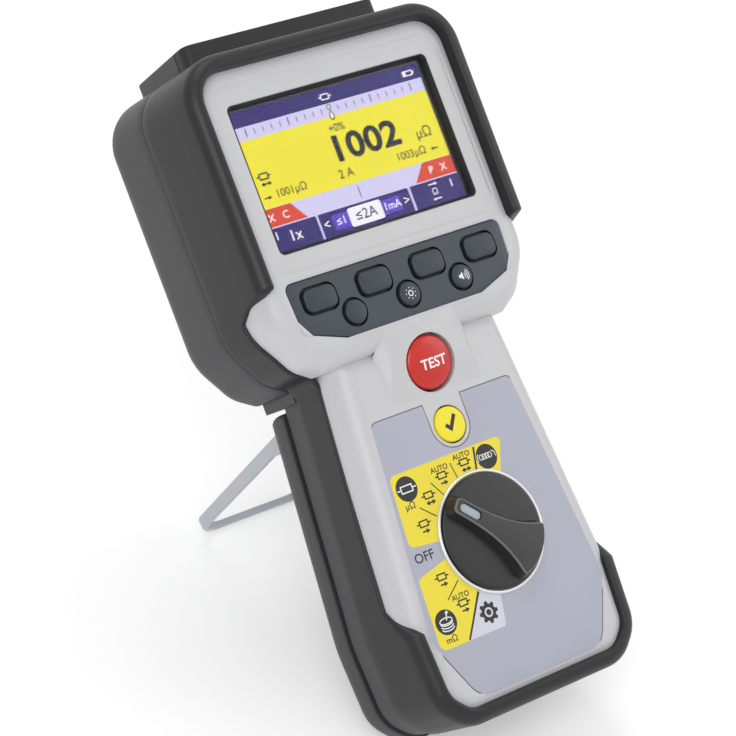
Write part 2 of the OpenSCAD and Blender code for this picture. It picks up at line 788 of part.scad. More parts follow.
// Plan of the grip: narrow at the pointer's end, with sides that sweep out to a fan at the other
function grip_side(i) = let (share = i / grip_steps)
    [grip_r * (1 - 2 * share), (grip_tip_w + (grip_fan_w - grip_tip_w) * pow(share, grip_bend)) / 2];
module grip_plan() {
    intersection() {
        circle(r = grip_r, $fn = 96);
        polygon(concat([for (i = [0:grip_steps]) grip_side(i)],
            [for (i = [grip_steps:-1:0]) [grip_side(i).x, -grip_side(i).y]]));
    }
}
module range_knob() {
    color("#1c1c1e") placed() at_knob() difference() {
        union() {
            translate([0, 0, knob_gap]) cylinder(r = knob_r, h = skirt_h - knob_gap, $fn = 96);
            translate([0, 0, skirt_h - fit]) linear_extrude(grip_h - skirt_h + fit) grip_plan();
        }
        translate([0, 0, -over]) cylinder(r = shaft_r + press_fit, h = shaft_top + over, $fn = 48);
        pointer_slot(fit, grip_h - slot_d);
    }
}
module pointer_slot(grow, low) {
    translate([slot_place, 0, low]) linear_extrude(2 * grip_h) union() {
        square([slot_l - slot_w, slot_w + 2 * grow], center = true);
        for (s = [-1, 1]) translate([s * (slot_l - slot_w) / 2, 0]) circle(r = slot_w / 2 + grow, $fn = 32);
    }
}
module knob_pointer() {
    color("#a9b0b6") placed() at_knob() intersection() {
        pointer_slot(0, grip_h - slot_d);
        translate([0, 0, grip_h - slot_d]) cylinder(r = knob_r, h = slot_d - fit, $fn = 48);
    }
}
module switch_shaft() {
    color("#c8c8c8") placed() at_knob() translate([0, 0, shaft_top - shaft_l]) cylinder(r = shaft_r,
        h = shaft_l, $fn = 48);
}
module rotary_switch() {
    color("#2b4a8c") placed() translate([0, knob_y, 0]) difference() {
        union() {
            translate([-switch_w / 2, -switch_w / 2, board_z + board_t]) cube([switch_w, switch_w, switch_t]);
            drill(bush_r, board_z + board_t, -slide_fit);
        }
        drill(shaft_r + run_fit, board_z, crest);
    }
}

// Boards
module main_board() {
    color("#1d6b3a") placed() difference() {
        intersection() {
            prism(outline, board_in, board_z, board_z + board_t);
            band(board_low, board_top_y);
        }
        at_case_screws() drill(post_r + slide_fit, board_z - over, board_z + board_t + over);
    }
}
module current_inductor() {
    color("#50504c") placed() translate([-head_w / 5, window_y, board_z - inductor_h]) difference() {
        cylinder(r = inductor_r, h = inductor_h, $fn = 48);
        translate([0, 0, -over]) cylinder(r = inductor_r / 2, h = inductor_h + 2 * over, $fn = 32);
    }
}
module shunt_resistor() {
    color("#c9b184") placed() translate([-shunt_l / 2, window_y + window_h / 2, board_z - shunt_w / 2])
        cube([shunt_l, shunt_w, shunt_w / 2]);
}
module sounder() {
    color("#222222") placed() translate([0, board_low + 2 * sounder_r, board_z + board_t])
        cylinder(r = sounder_r, h = sounder_h, $fn = 48);
}

// Six cells, three side by side in two rows, poles alternating
module cell(i) {
    column = i % 3 - 1;
    row = floor(i / 3);
    way = i % 2 == 0 ? 1 : -1;
    color("#3f7d4e") placed() translate([column * (2 * cell_r + cell_gap), cell_y + (row - 1 / 2) * (cell_l +
        2 * cap_l), cell_z]) rotate([-90 * way, 0, 0]) translate([0, 0, -cell_l / 2]) {
        cylinder(r = cell_r, h = cell_l - cap_l, $fn = 64);
        cylinder(r = cap_r, h = cell_l, $fn = 32);
    }
}
module battery_cell_1() { cell(0); }
module battery_cell_2() { cell(1); }
module battery_cell_3() { cell(2); }
module battery_cell_4() { cell(3); }
module battery_cell_5() { cell(4); }
module battery_cell_6() { cell(5); }
module battery_contacts() {
    reach = cell_l + cap_l + contact_t;
    color("#c8c8c8") placed() for (s = [-1, 1]) for (i = [-1:1])
        translate([i * (2 * cell_r + cell_gap) - contact_w / 2, cell_y + s * reach - contact_t / 2,
            cell_z - cell_r]) cube([contact_w, contact_t, 2 * cell_r]);
}

// Sockets
module socket(i) {
    color("#c9a44a") placed() at_socket(i) difference() {
        translate([0, 0, -socket_l]) cylinder(r = socket_r + socket_wall, h = socket_l - shroud_lift, $fn = 48);
        translate([0, 0, -socket_l + nut_t]) cylinder(r = socket_r, h = socket_l, $fn = 48);
    }
}
module test_socket_c1() { socket(0); }
module test_socket_p1() { socket(1); }
module test_socket_p2() { socket(2); }
module test_socket_c2() { socket(3); }
module shroud(i) {
    at_socket(i) difference() {
        translate([0, 0, nut_z]) cylinder(r = socket_r + socket_wall + shroud_t, h = -nut_z, $fn = 48);
        translate([0, 0, -socket_l]) cylinder(r = socket_r + socket_wall + press_fit, h = 2 * socket_l,
            $fn = 48);
    }
}
module socket_shrouds_red() {
    color("#b3261e") placed() for (i = [0, 1]) shroud(i);
}
module socket_shrouds_black() {
    color("#1e1e20") placed() for (i = [2, 3]) shroud(i);
}
module socket_nuts() {
    color("#c8c8c8") placed() at_sockets() difference() {
        translate([0, 0, nut_z - nut_t]) cylinder(r = nut_r, h = nut_t, $fn = 6);
        translate([0, 0, -socket_l]) cylinder(r = socket_r + socket_wall + press_fit, h = socket_l, $fn = 48);
    }
}

// Screws
module screw(seat, l, head_r) {
    translate([0, 0, seat - screw_head_l]) cylinder(r = head_r, h = screw_head_l, $fn = 32);
    translate([0, 0, seat - over]) cylinder(r = screw_r - fit, h = l + over, $fn = 32);
}
module case_screws() {
    color("#8a8a8e") placed() at_case_screws() screw(-head_depth + screw_seat, screw_l, screw_head_r);
}
module cover_screws() {
    color("#8a8a8e") placed() at_cover_screws() screw(-cover_slope_top + screw_head_l + fit, cover_screw_l,
        cover_head_r);
}

front_case();
front_overmould();
rear_case();
case_gasket();
battery_cover();
stand();
display_window();
window_frame();
display_module();
display_board();
keypad_plate();
key_mat();
soft_key_1();
soft_key_2();
soft_key_3();
soft_key_4();
round_key_1();
round_key_2();
round_key_3();
test_button();
tick_button();
key_switches();
face_label();
knob_ring();
range_knob();
knob_pointer();
switch_shaft();
rotary_switch();
main_board();
current_inductor();
shunt_resistor();
sounder();
battery_cell_1();
battery_cell_2();
battery_cell_3();
battery_cell_4();
battery_cell_5();
battery_cell_6();
battery_contacts();
test_socket_c1();
test_socket_p1();
test_socket_p2();
test_socket_c2();
socket_shrouds_red();
socket_shrouds_black();
socket_nuts();
case_screws();
cover_screws();
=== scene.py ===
import math

import bmesh
import bpy
import numpy as np
from mathutils import Matrix, Vector
from mathutils.geometry import delaunay_2d_cdt


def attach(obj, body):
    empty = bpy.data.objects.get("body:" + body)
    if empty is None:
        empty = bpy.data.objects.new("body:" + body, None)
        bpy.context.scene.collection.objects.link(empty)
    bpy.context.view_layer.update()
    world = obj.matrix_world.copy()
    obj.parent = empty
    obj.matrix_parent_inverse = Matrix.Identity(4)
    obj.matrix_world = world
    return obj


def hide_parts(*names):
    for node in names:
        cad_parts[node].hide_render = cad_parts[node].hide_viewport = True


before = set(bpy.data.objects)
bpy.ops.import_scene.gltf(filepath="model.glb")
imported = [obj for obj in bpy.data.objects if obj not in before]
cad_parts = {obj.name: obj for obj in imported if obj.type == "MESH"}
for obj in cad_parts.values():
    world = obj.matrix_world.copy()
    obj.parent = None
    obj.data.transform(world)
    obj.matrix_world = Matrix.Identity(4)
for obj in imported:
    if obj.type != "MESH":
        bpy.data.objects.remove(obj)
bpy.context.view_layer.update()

bl_info = {
    "name": "Micro ohmmeter",
    "version": (1, 0, 0),
    "blender": (4, 5, 0),
    "location": "3D View > Sidebar > Ohmmeter",
    "description": "Dresses the micro ohmmeter's CAD frame with its moulded, printed and lit surfaces",
    "category": "Add Mesh",
}

# Sizes, in millimetres.
# Every shape is drawn with the instrument on its back: u across the face, v up from the heel, w out of
# the face, 0 on the printed label. place() leans it on its stand, as the CAD model does.
LEAN = math.radians(43.70146)
SHIFT_Y, SHIFT_Z = -98.04037, 31.09744
BODY_L = 229.5
HEAD_FACE = 4.2
BEZEL_FACE = 3.8
# Outlines: the corners of the right half as (u, v, radius), from the heel up
OUTLINE = [(33, 0, 14), (42.6, 9.5, 14.2), (44, 36, 60), (36, 121, 6), (45.6, 125.5, 14), (54.9, 140, 20),
           (55.25, BODY_L, 16)]
HEAD = [(38, 121, 2), (45.6, 125.5, 14), (54.9, 140, 20), (55.25, BODY_L, 16)]
HANDLE = [(33, 0, 14), (42.6, 9.5, 14.2), (44, 36, 60), (36, 127, 6)]
COVER = [(33, 0, 14), (42.6, 9.5, 14.2), (44, 36, 60), (36.51, 115.6, 2.5)]
WINDOW = [(40.65, 161.5, 2), (40.65, 212, 2)]
BEZEL = [(46, 155.5, 6.5), (46, 218.2, 6.5)]
PLATE = [(25.2, 129.5, 1.8), (43.3, 135.6, 2.2), (44.2, 152.1, 2.6)]
KEY_PITCH, SOFT_V, ROUND_V = 22.04, 144.9, 137.3
SOCKET_PITCH, SOCKET_W, SOCKET_HOLE_R = 19.0, -31.5, 4.92
KNOB_V = 56.0
TEST_V, TEST_R, TICK_V, TICK_R = 114.2, 9.3, 93.2, 5.9
RAMP_FOOT, RAMP_TOP = 104.4, 124.4
RAMP_ANGLE = math.atan2(HEAD_FACE, RAMP_TOP - RAMP_FOOT)
SCREEN_W = 0.62
HINGE_V, HINGE_W, OPEN_ANGLE = 108.8, -41.0, math.radians(77)
# Half the width of the stand's bar, and the gap to each side of it in its groove
BAR_HALF, GROOVE_GAP = 1.2, 0.7
# Points nearer than this are merged, in a piece and in a cutter
MERGE, CUTTER_MERGE = 0.002, 0.001
# A capital's share of the size of Blender's own font
CAPITAL = 0.69
# The camera's place, and its directions to the right, up and back, in the instrument's axes
CAMERA_PLACE = (-539.40, 86.40, 773.44)
CAMERA_AXES = [(0.78509, -0.35151, 0.50998), (0.27410, 0.93552, 0.22286), (-0.55544, -0.03518, 0.83082)]


def linear(hex_colour):
    """sRGB hex to linear red, green, blue: the standard's two-part curve."""
    parts = np.array([int(hex_colour[i:i + 2], 16) for i in (1, 3, 5)]) / 255
    low, high = parts / 12.92, ((parts + 0.055) / 1.055) ** 2.4
    return tuple(float(x) for x in np.where(parts <= 0.04045, low, high))


# Shapes worked out with numpy
def place(points):
    """Millimetres on the instrument's back to metres in the frame: a turn by 90 degrees less the lean about
    X, then the shift that puts heel and foot on the ground."""
    p = np.asarray(points, float)
    s, c = math.sin(LEAN), math.cos(LEAN)
    return np.stack((p[..., 0], p[..., 1] * s - p[..., 2] * c + SHIFT_Y,
                     p[..., 1] * c + p[..., 2] * s + SHIFT_Z), -1) / 1000


def both(half):
    """A closed outline, anticlockwise, from its right half: the half and its mirror image, backwards."""
    return list(half) + [(-x, y, r) for x, y, r in reversed(half)]


def rounded(points, inset=0.0, steps=10):
    """A closed outline of (x, y, radius) corners moved inwards by inset. Each corner is an arc of that
    radius less the inset, which touches both its sides, in equal turns."""
    p = np.array(points, float)
    xy = p[:, :2]
    a, b = xy - np.roll(xy, 1, 0), np.roll(xy, -1, 0) - xy
    a, b = a / np.linalg.norm(a, axis=1)[:, None], b / np.linalg.norm(b, axis=1)[:, None]
    dot, cross = (a * b).sum(1), a[:, 0] * b[:, 1] - a[:, 1] * b[:, 0]
    turn = np.arctan2(cross, dot)
    left = np.column_stack((-a[:, 1], a[:, 0]))
    corner = xy + (left + np.column_stack((-b[:, 1], b[:, 0]))) * (inset / (1 + dot))[:, None]
    side = np.sign(turn)
    radius = np.maximum(p[:, 2] - side * inset, 0.02)
    back = radius * np.tan(np.abs(turn) / 2)
    out = -left * (side * radius)[:, None]
    middle = corner - a * back[:, None] - out
    g = turn[:, None] * np.linspace(0, 1, steps + 1)[None]
    arc = np.stack((out[:, :1] * np.cos(g) - out[:, 1:] * np.sin(g),
                    out[:, :1] * np.sin(g) + out[:, 1:] * np.cos(g)), -1)
    return (middle[:, None] + arc).reshape(-1, 2)


def spread(ring, spacing):
    """Places along a closed ring, as fractional point numbers, none further apart than spacing."""
    gap = np.linalg.norm(np.roll(ring, -1, 0) - ring, axis=1)
    count = np.maximum(1, np.ceil(gap / spacing)).astype(int)
    first = np.repeat(np.cumsum(count) - count, count)
    return np.repeat(np.arange(len(ring)), count) + (np.arange(count.sum()) - first) / np.repeat(count, count)


def at(ring, places):
    """The ring's points at fractional point numbers, on straight lines between its own."""
    i = np.floor(places).astype(int)
    f = (places - i)[:, None]
    return ring[i % len(ring)] * (1 - f) + ring[(i + 1) % len(ring)] * f


def arc(cx, cy, r, start, end, steps=8):
    """Points on a circle about (cx, cy), from one angle in degrees to another."""
    a = np.radians(np.linspace(start, end, steps + 1))
    return list(zip(cx + r * np.cos(a), cy + r * np.sin(a)))


def rings(points, profile, places=None, steps=10):
    """Rings of one outline, one for each (inset, level) of the profile, as a grid of points."""
    rows = []
    for inset, level in profile:
        ring = rounded(points, inset, steps)
        ring = ring if places is None else at(ring, places)
        rows.append(np.column_stack((ring, np.full(len(ring), level))))
    return np.array(rows)


def skin(grid, closed=True):
    """Quads between the rows of a grid. With rows that run anticlockwise and rise, they face outwards."""
    m, n = grid.shape[:2]
    i, j = np.arange(m - 1)[:, None] * n, np.arange(n if closed else n - 1)[None]
    k = (j + 1) % n
    return grid.reshape(-1, 3), np.stack((i + j, i + k, i + n + k, i + n + j), -1).reshape(-1, 4)


def wall(ring, *levels):
    """One ring of (u, v) points at each of the levels, as a grid."""
    return np.array([np.column_stack((ring, np.full(len(ring), level))) for level in levels])


def sheet(loops, level=0.0, up=True):
    """A flat face at one level. The first loop is its edge and the others are holes in it. Constrained
    Delaunay triangles fill it, and those are kept from whose middle a line to the right crosses the
    loops an odd number of times."""
    loops = [np.asarray(loop, float)[:, :2] for loop in loops]
    sizes = [len(loop) for loop in loops]
    starts = np.cumsum([0] + sizes[:-1])
    edges = [(int(s + i), int(s + (i + 1) % n)) for s, n in zip(starts, sizes) for i in range(n)]
    out = delaunay_2d_cdt([Vector(p) for p in np.vstack(loops)], edges, [], 1, 1e-7)
    flat = np.array([tuple(v) for v in out[0]])
    faces = np.array([list(f) for f in out[2]])
    start, end = np.vstack(loops), np.vstack([np.roll(loop, -1, 0) for loop in loops])
    x, y = (flat[faces].mean(1)[:, i:i + 1] for i in range(2))
    rise = np.where(end[:, 1] == start[:, 1], 1, end[:, 1] - start[:, 1])
    reach = start[:, 0] + (end[:, 0] - start[:, 0]) * (y - start[:, 1]) / rise
    faces = faces[(((start[:, 1] > y) != (end[:, 1] > y)) & (x < reach)).sum(1) % 2 == 1]
    a, b, c = (flat[faces[:, i]] for i in range(3))
    wrong = ((b - a)[:, 0] * (c - a)[:, 1] - (b - a)[:, 1] * (c - a)[:, 0] > 0) != up
    faces[wrong] = faces[wrong][:, ::-1]
    return np.column_stack((flat, np.full(len(flat), level))), faces


def lathe(profile, u=0.0, v=0.0, steps=96):
    """A profile of (radius, level) turned about an axis that stands on the face at (u, v), as a grid."""
    a = np.linspace(0, 2 * math.pi, steps, endpoint=False)
    p = np.array(profile, float)
    return np.stack((u + p[:, :1] * np.cos(a), v + p[:, :1] * np.sin(a), np.repeat(p[:, 1:], steps, 1)), -1)


def circle(r, u=0.0, v=0.0, steps=64):
    """A closed ring of points about (u, v)."""
    a = np.linspace(0, 2 * math.pi, steps, endpoint=False)
    return np.column_stack((u + r * np.cos(a), v + r * np.sin(a)))


def box_shape(low, high):
    """A closed block between two corners."""
    c = np.array([(x, y, z) for z in (low[2], high[2]) for x, y in
                  ((low[0], low[1]), (high[0], low[1]), (high[0], high[1]), (low[0], high[1]))], float)
    return c, np.array([(0, 3, 2, 1), (4, 5, 6, 7), (0, 1, 5, 4), (1, 2, 6, 5), (2, 3, 7, 6), (3, 0, 4, 7)])


def ramp_place(points):
    """Points drawn about the test button's own axis, put on the ramp: turned by the ramp's angle about
    X and moved to the button's centre."""
    p = np.asarray(points, float)
    s, c = math.sin(RAMP_ANGLE), math.cos(RAMP_ANGLE)
    rise = (TEST_V - RAMP_FOOT) * math.tan(RAMP_ANGLE)
    return np.stack((p[..., 0], TEST_V + p[..., 1] * c - p[..., 2] * s,
                     rise + p[..., 1] * s + p[..., 2] * c), -1)


class Shape:
    """Collects surfaces in millimetres, each with the number of its material."""

    def __init__(self):
        self.points, self.faces, self.slots, self.count = [], [], [], 0

    def add(self, surface, slot=0):
        points, faces = surface
        self.points.append(np.asarray(points, float))
        self.faces.append(np.asarray(faces) + self.count)
        self.slots.append(np.full(len(faces), slot))
        self.count += len(points)
        return self

    def finish(self, name, materials, body="housing", replaces=(), slot=None, smooth=35):
        """Makes the object: doubles merged, smooth shaded up to an angle, on its body."""
        points = np.vstack(self.points)
        mesh = bpy.data.meshes.new(name)
        faces = [tuple(f) for group in self.faces for f in group.tolist()]
        mesh.from_pydata(place(points).tolist(), [], faces)
        mesh.polygons.foreach_set("material_index", np.concatenate(self.slots).astype(np.int32))
        mesh.polygons.foreach_set("use_smooth", np.ones(len(faces), bool))
        piece = bpy.data.objects.new(name, mesh)
        bpy.context.collection.objects.link(piece)
        for m in materials:
            mesh.materials.append(finish(m))
        weld(mesh, MERGE / 1000)
        mesh.set_sharp_from_angle(angle=math.radians(smooth))
        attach(piece, body)
        if replaces:
            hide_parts(*replaces)
        return piece


def weld(mesh, distance):
    """Merges doubled points, and drops the faces that lose their area."""
    work = bmesh.new()
    work.from_mesh(mesh)
    bmesh.ops.remove_doubles(work, verts=work.verts, dist=distance)
    bmesh.ops.dissolve_degenerate(work, edges=work.edges, dist=distance / 10)
    work.to_mesh(mesh)
    work.free()


def cut(piece, cutter):
    """Takes the cutter's space out of the piece, exactly, and removes the cutter."""
    step = piece.modifiers.new("cut", "BOOLEAN")
    step.operation, step.solver, step.object = "DIFFERENCE", "EXACT", cutter
    graph = bpy.context.evaluated_depsgraph_get()
    made = bpy.data.meshes.new_from_object(piece.evaluated_get(graph))
    piece.modifiers.clear()
    old = piece.data
    made.name = old.name
    piece.data = made
    bpy.data.meshes.remove(old)
    bpy.data.objects.remove(cutter)


# Finishes
def add(tree, kind, links=(), **settings):
    """Adds a node. settings are its properties, or values of its inputs; links are (input, output) pairs."""
    node = tree.nodes.new(kind)
    for key, value in settings.items():
        if hasattr(node, key):
            setattr(node, key, value)
        else:
            name = key.replace("_", " ")
            socket = next(s for s in node.inputs if s.name.lower() == name.lower())
            socket.default_value = value
    for name, output in links:
        tree.links.new(node.inputs[name], output)
    return node


# Each finish: sRGB colour, roughness, metallic, grain in mm, depth of the grain in mm, drift of the tone,
# and its own shader values. The names say what the real surface is, or which light or shade is painted.
FINISHES = {
    # moulded ABS with a fine spark-eroded texture: pale, soft highlights
    "moulded_abs_pale_grey": ("#C9C9CB", 0.36, 0, 0.55, 0.012, 0.03, {}),
    # thermoplastic elastomer moulded over the case: dark, satin, very fine grain
    "soft_elastomer_bumper": ("#202022", 0.4, 0, 0.7, 0.02, 0.06, {"Specular IOR Level": 0.35}),
    # moulded ABS with a coarser texture: the dark rear half
    "moulded_abs_dark_grey": ("#424244", 0.44, 0, 0.8, 0.02, 0.05, {"Specular IOR Level": 0.35}),
    "moulded_abs_cover_grey": ("#363638", 0.5, 0, 0.8, 0.02, 0.05, {}),
    # the black frame round the display, and painted shade: the black walls and floors of the gaps round the
    # keys and buttons
    "black_moulding_and_painted_gap_shade": ("#0C0C0E", 0.55, 0, 0.5, 0.01, 0.05, {}),
    # frosted polycarbonate of the stand: milky, lets light through
    "frosted_polycarbonate": ("#C9CED6", 0.38, 0, 1.2, 0.006, 0.03,
                              {"Transmission Weight": 0.25, "IOR": 1.58}),
    # acrylic window with an anti-reflection coat, which leaves a fifth of the usual reflection
    "acrylic_window": ("#FFFFFF", 0.03, 0, 9.0, 0.0, 0.0,
                       {"Transmission Weight": 1.0, "IOR": 1.49, "Alpha": 0.2}),
    # slate-coloured plate, fine matt texture
    "keypad_plate_slate": ("#333D45", 0.42, 0, 0.45, 0.01, 0.05, {}),
    # silicone rubber keys: dull, slightly lighter where they catch the light
    "silicone_key_slate": ("#27303A", 0.4, 0, 0.4, 0.006, 0.06, {}),
    # red glossy cap of the test button
    "glossy_abs_red": ("#C81E12", 0.3, 0, 0.9, 0.004, 0.03, {"Coat Weight": 0.2}),
    "glossy_abs_yellow": ("#F4E52C", 0.36, 0, 0.9, 0.004, 0.03, {}),
    # printed polyester label: faintly pebbled film
    "printed_film_lilac": ("#AFB1C0", 0.45, 0, 0.35, 0.006, 0.03, {}),
    "printed_film_yellow": ("#EFDC3A", 0.45, 0, 0.35, 0.004, 0.02, {}),
    "printed_ink_black": ("#1B1B1D", 0.5, 0, 0.35, 0.004, 0.05, {}),
    "printed_ink_grey": ("#55565E", 0.5, 0, 0.35, 0.004, 0.05, {}),
    "printed_film_pale": ("#D3D4DF", 0.45, 0, 0.35, 0.004, 0.02, {}),
    "printed_ink_white": ("#F2F2F0", 0.45, 0, 0.35, 0.002, 0.02, {}),
    # satin black phenolic-like knob, and a painted highlight: a light grey band along the eased top edge of its
    # grip
    "satin_black_knob": ("#161617", 0.34, 0, 0.6, 0.008, 0.08, {}),
    "knob_edge_painted_highlight": ("#6A6A6A", 0.35, 0, 0.6, 0.004, 0.08, {}),
    "knob_top_grey": ("#2C2C2D", 0.42, 0, 0.6, 0.012, 0.08, {}),
    # pale moulded insert that marks the pointer
    "moulded_insert_pale_blue": ("#A9B2BA", 0.45, 0, 0.5, 0.005, 0.03, {}),
    # plated ring, turned
    "plated_ring": ("#DADAD8", 0.3, 0.6, 0.3, 0.003, 0.03, {}),
    "zinc_plated_steel": ("#9A9A9C", 0.34, 1, 0.3, 0.004, 0.05, {}),
    "nickel_plated_brass": ("#D0C49A", 0.28, 1, 0.3, 0.003, 0.05, {}),
    "moulded_pa_red": ("#B3261E", 0.4, 0, 0.5, 0.006, 0.04, {}),
    "moulded_pa_black": ("#1A1A1C", 0.42, 0, 0.5, 0.006, 0.06, {}),
    "green_solder_mask": ("#1D6B3A", 0.35, 0, 0.8, 0.006, 0.08, {}),
    "phenolic_switch_blue": ("#2B4A8C", 0.45, 0, 0.6, 0.008, 0.06, {}),
    "ferrite_grey": ("#50504C", 0.6, 0, 0.5, 0.02, 0.1, {}),
    "cell_jacket_green": ("#3F7D4E", 0.4, 0, 0.8, 0.004, 0.05, {}),
    "silicone_gasket_black": ("#2A2A2C", 0.55, 0, 0.5, 0.01, 0.05, {}),
}
# Colours of the lit display, which glow at the strength that shows them as written
LIT = {"lit_navy": "#2E2470", "lit_lilac": "#D3CDF0", "lit_yellow": "#F0E433", "lit_black": "#241F2E",
       "lit_orange": "#D9472B", "lit_purple": "#5B46C8", "lit_white": "#F4F2FA", "lit_green": "#3FA045"}


def finish(name):
    """The named procedural material. A moulded or printed surface gets a tone that drifts over some 12 mm,
    a roughness that varies with the grain, and the grain as bump, all on Object coordinates."""
    if name in bpy.data.materials:
        return bpy.data.materials[name]
    m = bpy.data.materials.new(name)
    m.use_nodes = True
    tree = m.node_tree
    shader = next(n for n in tree.nodes if n.type == "BSDF_PRINCIPLED")
    where = add(tree, "ShaderNodeTexCoord").outputs["Object"]
    if name in LIT:
        colour = linear(LIT[name])
        # the display's cells, drawn as faint stripes some 1.9 mm apart: one radian of the wave in 0.3 mm
        cells = add(tree, "ShaderNodeTexWave", [("Vector", where)], Scale=1 / 0.0003 / 20, Distortion=0.0)
        tone = add(tree, "ShaderNodeMix", [("Factor", cells.outputs["Fac"])], data_type="RGBA")
        tone.inputs["A"].default_value = (*(c * 0.97 for c in colour), 1)
        tone.inputs["B"].default_value = (*colour, 1)
        tree.links.new(shader.inputs["Emission Color"], tone.outputs["Result"])
        shader.inputs["Base Color"].default_value = (*(c * 0.05 for c in colour), 1)
        shader.inputs["Emission Strength"].default_value = 0.95
        shader.inputs["Specular IOR Level"].default_value = 0.0
        shader.inputs["Roughness"].default_value = 0.4
        return m
    colour, roughness, metallic, grain, depth, drift, extra = FINISHES[name]
    colour = np.array(linear(colour))
    shader.inputs["Roughness"].default_value = roughness
    shader.inputs["Metallic"].default_value = metallic
    for socket, value in extra.items():
        shader.inputs[socket].default_value = value
    shader.inputs["Base Color"].default_value = (*colour, 1)
    if drift:
        slow = add(tree, "ShaderNodeTexNoise", [("Vector", where)], Scale=1 / 0.012, Detail=3.0)
        tone = add(tree, "ShaderNodeMix", [("Factor", slow.outputs["Fac"])], data_type="RGBA")
        tone.inputs["A"].default_value = (*(colour * (1 - drift)), 1)
        tone.inputs["B"].default_value = (*np.minimum(colour * (1 + drift), 1), 1)
        tree.links.new(shader.inputs["Base Color"], tone.outputs["Result"])
    if depth:
        fine = add(tree, "ShaderNodeTexNoise", [("Vector", where)], Scale=1000 / grain, Detail=2.0)
        bump = add(tree, "ShaderNodeBump", [("Height", fine.outputs["Fac"])], Strength=0.5,
                   Distance=depth / 1000)
        tree.links.new(shader.inputs["Normal"], bump.outputs["Normal"])
        gloss = add(tree, "ShaderNodeMapRange", [("Value", fine.outputs["Fac"])])
        gloss.inputs["To Min"].default_value = roughness - 0.04
        gloss.inputs["To Max"].default_value = roughness + 0.05
        tree.links.new(shader.inputs["Roughness"], gloss.outputs["Result"])
    return m


# The pieces
def bead_rise(v):
    """How far the bumper's bead has risen at a height above the heel: 0 along neck and handle, 1 round the
    head and the heel, with a slope at each of its ends."""
    head = np.interp(v, [145.4, 148.9, 150.6, 152.2], [0, 0.34, 0.7, 1])
    heel = np.interp(v, [33.5, 44], [1, 0])
    return np.maximum(head, heel)


def bumper_shape():
    """The bumper carries a profile of (inset, level) round the outline. The profile is a blend of a low one,
    which ends on the side, and a full one with the bead: blend = low + (full - low) * rise, with rise by
    height above the heel. The low one's top sinks by 0.8 mm along the neck and lifts by 1.4 mm under the
    head, each by a bell curve, exp(-((v - middle) / width) ** 2)."""
    head_crest, heel_crest, middle_v, bead_r = 7.74, 1.34, 90, 4.4
    # level of the low profile's top, and the level above which its points follow that top
    low_top, side_top = -10.0, -13
    lip = [(0.35, -25.5), (0.1, -25.3), (0, -24.9)]
    outline = both(OUTLINE)
    places = spread(rounded(outline, 0, 14), 0.7)

    def ring(inset):
        return at(rounded(outline, inset, 14), places)

    def full(crest):
        side = lip + [(0, w) for w in (-21, -17, -13, -9, -5, crest - bead_r)]
        bead = arc(bead_r, crest - bead_r, bead_r, 180, 90, 10)[1:]
        inside = [(4.9, 0.06), (5.25, 0.3), (5.5, 0.8), (5.8, 2.2), (6.1, 4.6), (6.2, 6)]
        return side + bead + [(inset, crest - drop) for inset, drop in inside]

    low = lip + [(0, w) for w in (-23, -21, -19, -17, -14.5, -11.2)]
    low += arc(0.9, -10.9, 0.9, 180, 90, 10)[1:]
    low += [(1.0, -10.0), (1.15, -10.05), (1.3, -10.15), (1.5, -10.4), (1.7, -11), (1.8, -12)]
    v = ring(0)[:, 1]
    rise = bead_rise(v)
    low_level = low_top - 0.8 * np.exp(-((v - 85) / 30) ** 2) + 1.4 * np.exp(-((v - 130) / 9) ** 2)
    head = v > middle_v
    grid = []
    for low_point, head_point, heel_point in zip(low, full(head_crest), full(heel_crest)):
        start = ring(low_point[0])
        end = np.where(head[:, None], ring(head_point[0]), ring(heel_point[0]))
        start_w = low_point[1] + np.where(low_point[1] > side_top, low_level - low_top, 0)
        end_w = np.where(head, head_point[1], heel_point[1])
        xy = start + (end - start) * rise[:, None]
        grid.append(np.column_stack((xy, start_w + (end_w - start_w) * rise)))
    # the same skirt, closed underneath and inside, so that the piece is a solid wall
    inner = rings(outline, [(2.2, -12.0), (2.2, -25.5)], places, 14)
    return skin(np.concatenate((grid, inner, grid[:1])))


def tower(s, front, back):
    """Adds the terminal tower's block between two depths: a rounded rectangle seen from the top end, whose
    top face falls by 2.7 mm from front to back, with its edges eased."""
    half, r, top, foot, fall = 39.3, 3.5, BODY_L + 7.7, BODY_L - 4.4, 2.7
    front_w, back_w = -10, -46
    plan = [(-half, back_w, r), (half, back_w, r), (half, front_w, r), (-half, front_w, r)]
    grid = []
    for inset, drop in ((0, None), (0, 0.6), (0.2, 0.15), (0.6, 0)):
        ring = rounded(plan, inset, 8)
        w = np.clip(ring[:, 1], back, front)
        slope = top - fall * (front_w - w) / (front_w - back_w)
        v = np.full(len(w), foot) if drop is None else slope - drop
        grid.append(np.column_stack((ring[:, 0], v, w)))
    grid = np.array(grid)[:, ::-1]
    s.add(skin(grid)).add((grid[-1], fan(grid.shape[1])))


